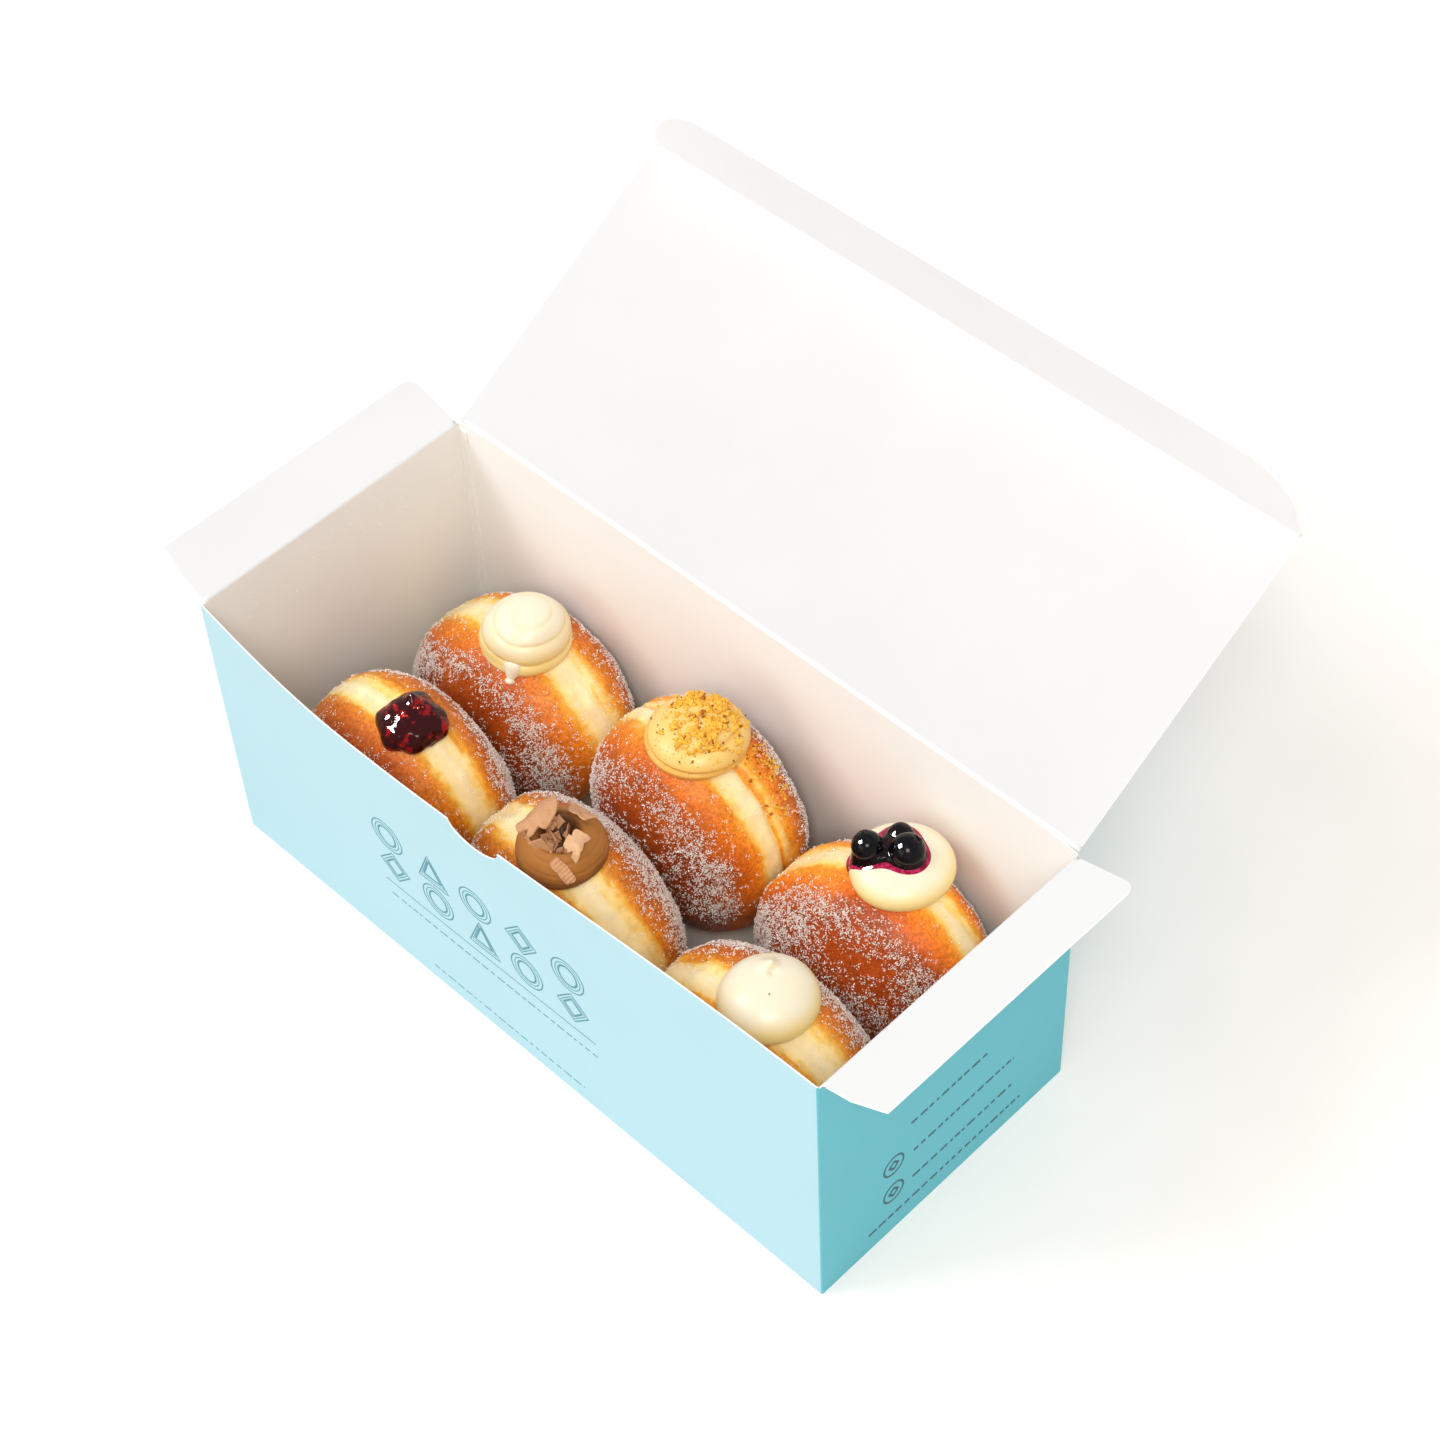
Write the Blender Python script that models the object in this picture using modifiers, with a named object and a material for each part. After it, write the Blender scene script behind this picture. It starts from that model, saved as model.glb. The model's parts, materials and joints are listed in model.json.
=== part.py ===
"""Open folding carton holding six filled doughnuts stood on edge in two rows.

Metres, +Z up. The carton stands on Z = 0 with its length along X and its front wall
towards -Y. Each separate piece is one object named for its node.
"""

import math

import bmesh
import bpy
from mathutils import Matrix, Vector

# Carton
BOX_LENGTH = 0.3000
BOX_WIDTH = 0.1246
BOX_HEIGHT = 0.1253
BOARD = 0.0006
GAP = 0.0003
END_WALL_DROP = 0.0012
FRONT_BOW = 0.0069
FRONT_BOW_X = -0.062
BACK_BOW = 0.0012
BACK_BOW_RAMP = 0.020
BOW_POWER = 1.5
NOTCH_X = -0.0015
NOTCH_HALF_WIDTH = 0.0117
NOTCH_DEPTH = 0.0075
GLUE_STRIP_WIDTH = 0.0040
GLUE_STRIP_PROUD = 0.0004
GLUE_STRIP_TOP = 0.1225
WALL_SEGMENTS_X = 24
WALL_SEGMENTS_Z = 6

# Lid, tuck flap and dust flaps
CREASE = 0.00045
LID_HINGE_Y = 0.0638
LID_HINGE_Z = 0.1259
LID_HALF_WIDTH = 0.1492
LID_DEPTH = 0.1246
LID_OPENED = math.radians(148.8)
TUCK_HALF_WIDTH = 0.1486
TUCK_DEPTH = 0.0352
TUCK_FOLD = math.radians(75.8)
TUCK_CORNER_LEFT = 0.034
TUCK_CORNER_RIGHT = 0.021
TUCK_CORNER_POWER_LEFT = 1.6
TUCK_CORNER_POWER_RIGHT = 2.0
DUST_HINGE_X = 0.1506
DUST_HINGE_Z = 0.1247
DUST_DEPTH = 0.0250
DUST_FRONT_Y = -0.0599
DUST_FRONT_TIP_Y = -0.0570
DUST_FRONT_TAPER_FROM = 0.0115
DUST_BACK_Y = 0.0613
DUST_CORNER = 0.0050
DUST_LEFT_OPENED = math.radians(160.7)
DUST_RIGHT_OPENED = math.radians(164.4)

# Doughnuts: centre, radii (along the row, through the cake, upright), yaw and lean
BUN_ROUNDNESS = 0.82
BUN_STEPS = 28
BUN_RINGS = 10
BUN_SIZES = {
    "bun_jam": ((-0.0850, -0.0319, 0.0505), (0.0423, 0.0292, 0.0495), (2.4, 5.7)),
    "bun_custard_swirl": ((-0.0908, 0.0301, 0.0409), (0.0465, 0.0310, 0.0399), (2.1, -1.5)),
    "bun_chocolate": ((0.0025, -0.0305, 0.0507), (0.0444, 0.0282, 0.0498), (-4.7, 10.6)),
    "bun_caramel": ((0.0033, 0.0301, 0.0514), (0.0415, 0.0306, 0.0505), (-1.5, 5.5)),
    "bun_custard_dome": ((0.0927, -0.0306, 0.0482), (0.0451, 0.0296, 0.0473), (4.6, 9.7)),
    "bun_blueberry": ((0.0886, 0.0302, 0.0451), (0.0438, 0.0283, 0.0441), (12.2, -4.8)),
}

# Fillings: centre of the widest ring, ring radius, height above it
FILLING_STEPS = 22
FILLING_UNDERSIDE = 0.0085
JAM = ((-0.0722, -0.0352, 0.0980), 0.0135, 0.0086)
CUSTARD_SWIRL = ((-0.0854, 0.0306, 0.0795), 0.0176, 0.0155)
CHOCOLATE_CREAM = ((0.0083, -0.0386, 0.0996), 0.0160, 0.0130)
CARAMEL_CREAM = ((0.0080, 0.0273, 0.1018), 0.0185, 0.0092)
CUSTARD_DOME = ((0.1010, -0.0337, 0.0960), 0.0172, 0.0095)
BERRY_CUSTARD = ((0.0937, 0.0389, 0.0915), 0.0182, 0.0085)
SWIRL_TIERS = ((1.00, 0.00), (0.97, 0.16), (0.80, 0.36), (0.74, 0.44), (0.70, 0.60),
               (0.52, 0.74), (0.46, 0.80), (0.34, 0.92), (0.16, 0.985))
CARAMEL_TIERS = ((1.00, 0.00), (0.98, 0.22), (0.88, 0.46), (0.80, 0.56), (0.76, 0.72),
                 (0.56, 0.90), (0.30, 0.98))
PEAK_RISE = 0.0022

# Toppings as large as berries
BERRIES = {
    "blueberry_left": ((0.0843, 0.0316, 0.1018), 0.0055),
    "blueberry_right": ((0.0959, 0.0394, 0.1020), 0.0062),
    "blueberry_back": ((0.0876, 0.0449, 0.0982), 0.0042),
}
SHARD_THICKNESS = 0.0008
SHARDS = {
    "chocolate_shard_large": ((0.0030, -0.0415, 0.1155), (0.0090, 0.0165), 0.0016, (8, -14, -6)),
    "chocolate_shard_right": ((0.0178, -0.0402, 0.1125), (0.0070, 0.0120), 0.0010, (6, 24, 20)),
    "chocolate_shard_back": ((0.0092, -0.0292, 0.1128), (0.0105, 0.0060), -0.0012, (-38, 6, 10)),
    "chocolate_ribbon": ((0.0196, -0.0478, 0.1068), (0.0100, 0.0045), 0.0008, (28, 40, 8)),
}


def new_collection(name):
    """Return a fresh collection linked to the scene."""
    collection = bpy.data.collections.new(name)
    bpy.context.scene.collection.children.link(collection)
    return collection


def material(name, colour, roughness):
    """Return a named Principled material."""
    made = bpy.data.materials.new(name)
    made.use_nodes = True
    shader = made.node_tree.nodes["Principled BSDF"]
    shader.inputs["Base Color"].default_value = (*colour, 1.0)
    shader.inputs["Roughness"].default_value = roughness
    made.diffuse_color = (*colour, 1.0)
    return made


def add_object(name, data, collection, finish=None):
    """Link an object holding the data and give it its finish."""
    made = bpy.data.objects.new(name, data)
    collection.objects.link(made)
    if finish is not None:
        data.materials.append(finish)
    return made


def add_cutter(name, mesh, cutters):
    """Link a Boolean cutter: never rendered, drawn as wire."""
    made = add_object(name, mesh, cutters)
    made.hide_render = True
    made.display_type = "WIRE"
    return made


def mesh_from_bmesh(name, built):
    """Weld, orient and store a bmesh."""
    bmesh.ops.remove_doubles(built, verts=built.verts, dist=1e-6)
    bmesh.ops.recalc_face_normals(built, faces=built.faces)
    mesh = bpy.data.meshes.new(name)
    built.to_mesh(mesh)
    built.free()
    return mesh


def bake(made):
    """Replace an object's data by its evaluated mesh and drop the modifiers."""
    graph = bpy.context.evaluated_depsgraph_get()
    graph.update()
    baked = bpy.data.meshes.new_from_object(made.evaluated_get(graph))
    made.modifiers.clear()
    made.data = baked
    welded = bmesh.new()
    welded.from_mesh(baked)
    bmesh.ops.remove_doubles(welded, verts=welded.verts, dist=1e-6)
    bmesh.ops.recalc_face_normals(welded, faces=welded.faces)
    welded.to_mesh(baked)
    welded.free()


def boolean(made, cutter, operation):
    """Apply one EXACT Boolean and keep the result as the object's mesh."""
    modifier = made.modifiers.new(operation.title(), "BOOLEAN")
    modifier.operation = operation
    modifier.solver = "EXACT"
    modifier.object = cutter
    bake(made)


def smooth(made):
    """Shade a round piece smooth."""
    for polygon in made.data.polygons:
        polygon.use_smooth = True


def front_bow(x):
    """Outward bow of the front wall's rim at a place along the length."""
    if x < FRONT_BOW_X:
        share = (x + BOX_LENGTH / 2) / (FRONT_BOW_X + BOX_LENGTH / 2)
        return FRONT_BOW * math.sin(share * math.pi / 2)
    share = (x - FRONT_BOW_X) / (BOX_LENGTH / 2 - FRONT_BOW_X)
    return FRONT_BOW * math.cos(share * math.pi / 2) ** 2


def back_bow(x):
    """Outward bow of the back wall's rim: flat-topped, with a ramp at each corner."""
    share = min(1.0, (BOX_LENGTH / 2 - abs(x)) / BACK_BOW_RAMP)
    return BACK_BOW * math.sin(share * math.pi / 2)


def add_panel(built, centre, across, up, segments):
    """Add one flat gridded panel spanned by two vectors to the bmesh."""
    normal = across.cross(up).normalized()
    frame = Matrix((across, up, normal * across.length)).transposed().to_4x4()
    frame.translation = centre
    bmesh.ops.create_grid(
        built, x_segments=segments[0], y_segments=segments[1], size=0.5, matrix=frame
    )


def bow_walls(built):
    """Bow the front and back walls outwards towards their rims."""
    for vertex in built.verts:
        x, y, z = vertex.co
        rise = (z / BOX_HEIGHT) ** BOW_POWER
        if y < -BOX_WIDTH / 2 + 1e-5:
            vertex.co.y -= front_bow(x) * rise
        elif y > BOX_WIDTH / 2 - 1e-5:
            vertex.co.y += back_bow(x) * rise


def tray_surface():
    """Outer surface of the open tray: base and four walls, bowed."""
    built = bmesh.new()
    half_l, half_w, half_h = BOX_LENGTH / 2, BOX_WIDTH / 2, BOX_HEIGHT / 2
    along = Vector((BOX_LENGTH, 0, 0))
    wide = Vector((0, BOX_WIDTH, 0))
    tall = Vector((0, 0, BOX_HEIGHT))
    long_wall = (WALL_SEGMENTS_X, WALL_SEGMENTS_Z)
    add_panel(built, Vector((0, 0, 0)), along, wide, (WALL_SEGMENTS_X, 1))
    add_panel(built, Vector((0, -half_w, half_h)), along, tall, long_wall)
    add_panel(built, Vector((0, half_w, half_h)), along, tall, long_wall)
    add_panel(built, Vector((-half_l, 0, half_h)), wide, tall, (1, WALL_SEGMENTS_Z))
    add_panel(built, Vector((half_l, 0, half_h)), wide, tall, (1, WALL_SEGMENTS_Z))
    bmesh.ops.remove_doubles(built, verts=built.verts, dist=1e-6)
    bow_walls(built)
    return mesh_from_bmesh("tray_surface", built)


def box_mesh(name, low, high):
    """Axis-aligned box between two corners."""
    built = bmesh.new()
    size = Vector(high) - Vector(low)
    middle = (Vector(high) + Vector(low)) / 2
    frame = Matrix.Translation(middle) @ Matrix.Diagonal((*size, 1.0))
    bmesh.ops.create_cube(built, size=1.0, matrix=frame)
    return mesh_from_bmesh(name, built)


def notch_cutter(cutters):
    """Half-elliptical cutter for the thumb notch in the front wall's rim."""
    built = bmesh.new()
    bmesh.ops.create_cone(
        built, cap_ends=True, segments=24, radius1=1.0, radius2=1.0, depth=0.03,
        matrix=Matrix.Rotation(math.pi / 2, 4, "X"),
    )
    for vertex in built.verts:
        vertex.co.x = NOTCH_X + vertex.co.x * NOTCH_HALF_WIDTH
        vertex.co.z = BOX_HEIGHT + vertex.co.z * NOTCH_DEPTH
        vertex.co.y -= BOX_WIDTH / 2
    return add_cutter("notch_cutter", mesh_from_bmesh("notch_cutter", built), cutters)


def end_wall_cutter(side, cutters):
    """Cutter that drops one end wall's rim to leave room for its dust flap."""
    inner = side * (BOX_LENGTH / 2 - BOARD - 0.0002)
    outer = side * (BOX_LENGTH / 2 + 0.002)
    half_y = BOX_WIDTH / 2 - BOARD - 0.0001
    low = (min(inner, outer), -half_y, BOX_HEIGHT - END_WALL_DROP)
    high = (max(inner, outer), half_y, BOX_HEIGHT + 0.002)
    name = "end_rim_cutter_left" if side < 0 else "end_rim_cutter_right"
    return add_cutter(name, box_mesh(name, low, high), cutters)


def glue_strip(cutters):
    """Edge of the glue flap lapping onto the back wall at the left inner corner."""
    inner_x = -BOX_LENGTH / 2 + BOARD
    inner_y = BOX_WIDTH / 2 - BOARD
    low = (inner_x - BOARD / 2, inner_y - GLUE_STRIP_PROUD, BOARD / 2)
    high = (inner_x + GLUE_STRIP_WIDTH, inner_y + BOARD / 3, GLUE_STRIP_TOP)
    return add_cutter("glue_strip", box_mesh("glue_strip", low, high), cutters)


def carton_body(parts, cutters, board):
    """One folded board: base, four walls, thumb notch, dropped end rims, glue strip."""
    body = add_object("carton_body", tray_surface(), parts, board)
    wall = body.modifiers.new("Board", "SOLIDIFY")
    wall.thickness = BOARD
    wall.offset = -1.0
    wall.use_even_offset = True
    bake(body)
    boolean(body, glue_strip(cutters), "UNION")
    boolean(body, notch_cutter(cutters), "DIFFERENCE")
    boolean(body, end_wall_cutter(-1, cutters), "DIFFERENCE")
    boolean(body, end_wall_cutter(1, cutters), "DIFFERENCE")
    return body


def plate(name, outline, thickness):
    """Flat plate in XY from a closed outline, centred on Z = 0."""
    curve = bpy.data.curves.new(name, "CURVE")
    curve.dimensions = "2D"
    curve.fill_mode = "BOTH"
    curve.extrude = thickness / 2
    spline = curve.splines.new("POLY")
    spline.points.add(len(outline) - 1)
    for point, (x, y) in zip(spline.points, outline):
        point.co = (x, y, 0.0, 1.0)
    spline.use_cyclic_u = True
    carrier = bpy.data.objects.new(name, curve)
    bpy.context.scene.collection.objects.link(carrier)
    bake_from = carrier.evaluated_get(bpy.context.evaluated_depsgraph_get())
    mesh = bpy.data.meshes.new_from_object(bake_from)
    bpy.data.objects.remove(carrier)
    welded = bmesh.new()
    welded.from_mesh(mesh)
    return mesh_from_bmesh(name, welded)


def corner(centre, reach, power, start, steps=8):
    """Points of one rounded corner, a quarter of a superellipse from a start angle."""
    points = []
    for step in range(steps + 1):
        angle = start + step / steps * math.pi / 2
        cos, sin = math.cos(angle), math.sin(angle)
        x = math.copysign(abs(cos) ** (2 / power), cos)
        y = math.copysign(abs(sin) ** (2 / power), sin)
        points.append((centre[0] + reach * x, centre[1] + reach * y))
    return points


def hinged(name, mesh, origin, across, away, parts, board):
    """Place a plate at its fold: local X runs along the fold, local Y away from it."""
    made = add_object(name, mesh, parts, board)
    frame = Matrix((across, away, across.cross(away))).transposed().to_4x4()
    frame.translation = origin
    made.matrix_world = frame
    return made


def lid_direction():
    """Unit vector from the lid's fold to its far edge."""
    return Vector((0, -math.cos(LID_OPENED), math.sin(LID_OPENED)))


def lid_panel(parts, board):
    """Lid panel, hinged along the back wall's rim."""
    near, far = CREASE, LID_DEPTH - CREASE
    outline = [(-LID_HALF_WIDTH, near), (LID_HALF_WIDTH, near),
               (LID_HALF_WIDTH, far), (-LID_HALF_WIDTH, far)]
    origin = Vector((0, LID_HINGE_Y, LID_HINGE_Z))
    across = Vector((1, 0, 0))
    return hinged("lid_panel", plate("lid_panel", outline, BOARD), origin, across,
                  lid_direction(), parts, board)


def tuck_flap(parts, board):
    """Tuck flap on the lid's far edge, with rounded corners."""
    right = corner((TUCK_HALF_WIDTH - TUCK_CORNER_RIGHT, TUCK_DEPTH - TUCK_CORNER_RIGHT),
                   TUCK_CORNER_RIGHT, TUCK_CORNER_POWER_RIGHT, 0.0)
    left = corner((TUCK_CORNER_LEFT - TUCK_HALF_WIDTH, TUCK_DEPTH - TUCK_CORNER_LEFT),
                  TUCK_CORNER_LEFT, TUCK_CORNER_POWER_LEFT, math.pi / 2)
    outline = [(-TUCK_HALF_WIDTH, CREASE), (TUCK_HALF_WIDTH, CREASE), *right, *left]
    fold = Vector((0, LID_HINGE_Y, LID_HINGE_Z)) + lid_direction() * LID_DEPTH
    turn = LID_OPENED - TUCK_FOLD
    away = Vector((0, -math.cos(turn), math.sin(turn)))
    return hinged("tuck_flap", plate("tuck_flap", outline, BOARD), fold,
                  Vector((1, 0, 0)), away, parts, board)


def dust_flap(name, side, opened, parts, board):
    """Dust flap on one end wall: tapered at the front, rounded at the back."""
    back = corner((DUST_BACK_Y - DUST_CORNER, DUST_DEPTH - DUST_CORNER), DUST_CORNER, 2.0,
                  0.0, 5)
    outline = [(DUST_FRONT_Y, CREASE), (DUST_BACK_Y, CREASE), *back,
               (DUST_FRONT_TIP_Y, DUST_DEPTH), (DUST_FRONT_Y, DUST_FRONT_TAPER_FROM)]
    origin = Vector((side * DUST_HINGE_X, 0, DUST_HINGE_Z))
    away = Vector((-side * math.cos(opened), 0, math.sin(opened)))
    return hinged(name, plate(name, outline, BOARD), origin, Vector((0, 1, 0)), away,
                  parts, board)


def screw_solid(name, profile, steps):
    """Closed solid of revolution about Z from (radius, height) points, top to bottom."""
    built = bmesh.new()
    chain = [built.verts.new((radius, 0.0, height)) for radius, height in profile]
    for first, second in zip(chain, chain[1:]):
        built.edges.new((first, second))
    mesh = bpy.data.meshes.new(name)
    built.to_mesh(mesh)
    built.free()
    carrier = bpy.data.objects.new(name, mesh)
    bpy.context.scene.collection.objects.link(carrier)
    screw = carrier.modifiers.new("Turn", "SCREW")
    screw.axis = "Z"
    screw.steps = steps
    screw.render_steps = steps
    screw.use_merge_vertices = True
    screw.merge_threshold = 1e-5
    bake(carrier)
    turned = carrier.data
    bpy.data.objects.remove(carrier)
    return turned


def bun_matrix(name, grow=0.0):
    """Placement of a bun: its turned axis lies through the cake, towards +Y."""
    centre, radii, (yaw, lean) = BUN_SIZES[name]
    place = Matrix.Translation(centre)
    turn = Matrix.Rotation(math.radians(yaw), 4, "Z")
    tip = Matrix.Rotation(math.radians(lean), 4, "X")
    lay = Matrix.Rotation(-math.pi / 2, 4, "X")
    size = Matrix.Diagonal((radii[0] + grow, radii[2] + grow, radii[1] + grow, 1.0))
    return place @ turn @ tip @ lay @ size


def bun_mesh(name, grow=0.0):
    """Cushion-shaped bun, turned from a rounded profile."""
    profile = []
    for ring in range(BUN_RINGS + 1):
        angle = math.pi * ring / BUN_RINGS
        cos, sin = math.cos(angle), math.sin(angle)
        radius = max(0.0, sin) ** BUN_ROUNDNESS if 0 < ring < BUN_RINGS else 0.0
        height = math.copysign(abs(cos) ** BUN_ROUNDNESS, cos)
        profile.append((radius, height))
    mesh = screw_solid(name, profile, BUN_STEPS)
    mesh.transform(bun_matrix(name, grow))
    return mesh


def bun(name, parts, dough):
    """One doughnut stood on edge."""
    made = add_object(name, bun_mesh(name), parts, dough)
    smooth(made)
    return made


def dome_tiers(peak=0.0):
    """Rounded dome profile as shares of radius and height, with an optional peak."""
    tiers = [(math.cos(a), math.sin(a)) for a in (0.0, 0.26, 0.52, 0.79, 1.05, 1.31)]
    if peak:
        tiers.append((0.10, 1.0 + peak * 0.35))
    return tiers


def filling_mesh(name, size, tiers, top):
    """Piped filling: tiers above the widest ring, a rounded underside below it."""
    centre, radius, height = size
    under = [(math.cos(a) * radius, -math.sin(a) * FILLING_UNDERSIDE)
             for a in (0.4, 0.8, 1.2)]
    above = [(share_r * radius, share_h * height) for share_r, share_h in tiers]
    profile = [(0.0, height * top), *reversed(above), *under, (0.0, -FILLING_UNDERSIDE)]
    mesh = screw_solid(name, profile, FILLING_STEPS)
    mesh.transform(Matrix.Translation(centre))
    return mesh


def filling(name, size, tiers, top, bun_name, finish, parts, cutters, extra=()):
    """One filling, cut back to a hair above its bun and around what sits in it."""
    made = add_object(name, filling_mesh(name, size, tiers, top), parts, finish)
    seat_name = name + "_seat"
    seat = add_cutter(seat_name, bun_mesh(bun_name, GAP * 1.4), cutters)
    boolean(made, seat, "DIFFERENCE")
    for cutter in extra:
        boolean(made, cutter, "DIFFERENCE")
    smooth(made)
    return made


def ball_mesh(name, centre, radius):
    """Round berry."""
    built = bmesh.new()
    bmesh.ops.create_uvsphere(
        built, u_segments=14, v_segments=8, radius=radius, matrix=Matrix.Translation(centre)
    )
    return mesh_from_bmesh(name, built)


def berry(name, parts, finish):
    """One blueberry."""
    made = add_object(name, ball_mesh(name, *BERRIES[name]), parts, finish)
    smooth(made)
    return made


def berry_cutter(name, cutters):
    """Cutter a hair larger than a berry."""
    centre, radius = BERRIES[name]
    mesh = ball_mesh(name + "_seat", centre, radius * 1.03 + GAP)
    return add_cutter(name + "_seat", mesh, cutters)


def shard_mesh(name, grow=0.0):
    """Bent, tapered flake of chocolate."""
    centre, (size_x, size_y), bend, turns = SHARDS[name]
    built = bmesh.new()
    bmesh.ops.create_grid(built, x_segments=6, y_segments=4, size=0.5)
    for vertex in built.verts:
        x, y = vertex.co.x, vertex.co.y
        taper = 1.0 - 0.35 * (y + 0.5)
        vertex.co.x = x * (size_x + 2 * grow) * taper
        vertex.co.y = y * (size_y + 2 * grow)
        vertex.co.z = bend * (1.0 - 4.0 * x * x)
    carrier = add_object(name + "_sheet", mesh_from_bmesh(name, built),
                         bpy.context.scene.collection)
    thicken = carrier.modifiers.new("Thickness", "SOLIDIFY")
    thicken.thickness = SHARD_THICKNESS + 2 * grow
    thicken.offset = 0.0
    bake(carrier)
    mesh = carrier.data
    bpy.data.objects.remove(carrier)
    turn = Matrix.Identity(4)
    for angle, axis in zip(turns, "XYZ"):
        turn = Matrix.Rotation(math.radians(angle), 4, axis) @ turn
    mesh.transform(Matrix.Translation(centre) @ turn)
    return mesh


def shard(name, parts, finish):
    """One large chocolate flake."""
    return add_object(name, shard_mesh(name), parts, finish)


def shard_cutter(name, cutters):
    """Cutter a hair larger than a flake."""
    return add_cutter(name + "_seat", shard_mesh(name, GAP), cutters)


def clear_scene():
    """Remove every object of the starting scene."""
    for old in list(bpy.data.objects):
        bpy.data.objects.remove(old)


def build_carton(parts, cutters):
    """Build the carton, its lid, tuck flap and dust flaps."""
    board = material("printed_board", (0.55, 0.82, 0.88), 0.6)
    carton_body(parts, cutters, board)
    lid_panel(parts, board)
    tuck_flap(parts, board)
    dust_flap("dust_flap_left", -1, DUST_LEFT_OPENED, parts, board)
    dust_flap("dust_flap_right", 1, DUST_RIGHT_OPENED, parts, board)


def build_doughnuts(parts, cutters):
    """Build the six buns, their fillings and the large toppings."""
    dough = material("fried_dough", (0.62, 0.33, 0.12), 0.6)
    custard = material("custard", (0.95, 0.85, 0.58), 0.35)
    caramel = material("caramel_cream", (0.88, 0.68, 0.34), 0.4)
    jam = material("raspberry_jam", (0.20, 0.01, 0.02), 0.15)
    chocolate = material("chocolate", (0.30, 0.14, 0.06), 0.35)
    berry_skin = material("blueberry_skin", (0.02, 0.02, 0.05), 0.2)
    for name in BUN_SIZES:
        bun(name, parts, dough)
    for name in BERRIES:
        berry(name, parts, berry_skin)
    for name in SHARDS:
        shard(name, parts, chocolate)
    berry_seats = [berry_cutter(name, cutters) for name in BERRIES]
    shard_seats = [shard_cutter(name, cutters) for name in SHARDS]
    dome = dome_tiers()
    peaked = dome_tiers(PEAK_RISE / CUSTARD_DOME[2])
    filling("filling_jam", JAM, dome, 1.0, "bun_jam", jam, parts, cutters)
    filling("filling_custard_swirl", CUSTARD_SWIRL, SWIRL_TIERS, 1.0,
            "bun_custard_swirl", custard, parts, cutters)
    filling("filling_chocolate", CHOCOLATE_CREAM, dome, 1.0, "bun_chocolate", chocolate,
            parts, cutters, shard_seats)
    filling("filling_caramel", CARAMEL_CREAM, CARAMEL_TIERS, 1.0, "bun_caramel", caramel,
            parts, cutters)
    filling("filling_custard_dome", CUSTARD_DOME, peaked, 1.0 + PEAK_RISE / CUSTARD_DOME[2],
            "bun_custard_dome", custard, parts, cutters)
    filling("filling_blueberry", BERRY_CUSTARD, dome, 1.0, "bun_blueberry", custard,
            parts, cutters, berry_seats)


def main():
    """Build the whole object."""
    clear_scene()
    parts = new_collection("box_of_doughnuts")
    cutters = new_collection("cutters")
    build_carton(parts, cutters)
    build_doughnuts(parts, cutters)


main()
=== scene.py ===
"""Finish of an open folding carton of six filled doughnuts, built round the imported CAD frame.

Metres, +Z up. The carton's front wall faces -Y and its length lies along X.
"""

import json
import logging
import math
from collections.abc import Callable
from dataclasses import dataclass, field
from enum import Enum
from itertools import product

import bpy
import numpy as np
from mathutils import Matrix, Vector

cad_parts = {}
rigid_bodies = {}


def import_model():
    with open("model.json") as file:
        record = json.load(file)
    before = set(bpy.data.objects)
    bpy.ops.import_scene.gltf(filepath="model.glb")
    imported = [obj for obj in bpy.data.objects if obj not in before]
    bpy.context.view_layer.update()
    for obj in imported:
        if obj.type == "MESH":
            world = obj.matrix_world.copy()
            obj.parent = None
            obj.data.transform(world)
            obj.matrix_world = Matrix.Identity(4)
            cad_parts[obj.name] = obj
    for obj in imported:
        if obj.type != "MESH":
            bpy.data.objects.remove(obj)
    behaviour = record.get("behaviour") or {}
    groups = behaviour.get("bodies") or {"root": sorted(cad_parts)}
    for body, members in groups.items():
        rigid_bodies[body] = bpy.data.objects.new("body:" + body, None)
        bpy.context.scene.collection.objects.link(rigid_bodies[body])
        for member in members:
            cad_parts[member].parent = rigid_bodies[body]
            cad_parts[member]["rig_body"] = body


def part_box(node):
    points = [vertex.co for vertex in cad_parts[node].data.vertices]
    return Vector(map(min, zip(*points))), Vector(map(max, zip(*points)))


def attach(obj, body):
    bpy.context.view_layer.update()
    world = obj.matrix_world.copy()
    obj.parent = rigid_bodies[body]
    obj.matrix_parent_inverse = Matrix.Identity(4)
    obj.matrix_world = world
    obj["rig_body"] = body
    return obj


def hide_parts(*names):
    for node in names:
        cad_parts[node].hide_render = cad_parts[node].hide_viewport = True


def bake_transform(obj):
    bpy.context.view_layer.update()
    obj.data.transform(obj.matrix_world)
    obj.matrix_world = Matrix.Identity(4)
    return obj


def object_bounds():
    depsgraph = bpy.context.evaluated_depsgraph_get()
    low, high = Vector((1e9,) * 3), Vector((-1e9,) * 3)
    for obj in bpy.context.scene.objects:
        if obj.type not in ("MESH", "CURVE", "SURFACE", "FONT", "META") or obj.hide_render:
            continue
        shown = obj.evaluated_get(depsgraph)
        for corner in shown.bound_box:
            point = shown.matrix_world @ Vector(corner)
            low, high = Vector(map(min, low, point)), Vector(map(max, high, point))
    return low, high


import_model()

CAD_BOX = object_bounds()
MM = 0.001
LOG = logging.getLogger("doughnut_box")
Colour = tuple[float, float, float, float]
Point = tuple[float, float, float]
Pair = tuple[float, float]
Socket = bpy.types.NodeSocket
Material = bpy.types.Material


# ---------------------------------------------------------------- shared helpers


def linear(code: str) -> Colour:
    """Turn an sRGB hex value into a linear colour.

    Args:
        code: Six hex digits after a hash sign.

    Returns:
        Linear red, green, blue and an alpha of one.
    """
    parts = [int(code[i:i + 2], 16) / 255 for i in (1, 3, 5)]
    made = [p / 12.92 if p <= 0.04045 else ((p + 0.055) / 1.055) ** 2.4 for p in parts]
    return (made[0], made[1], made[2], 1.0)


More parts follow.
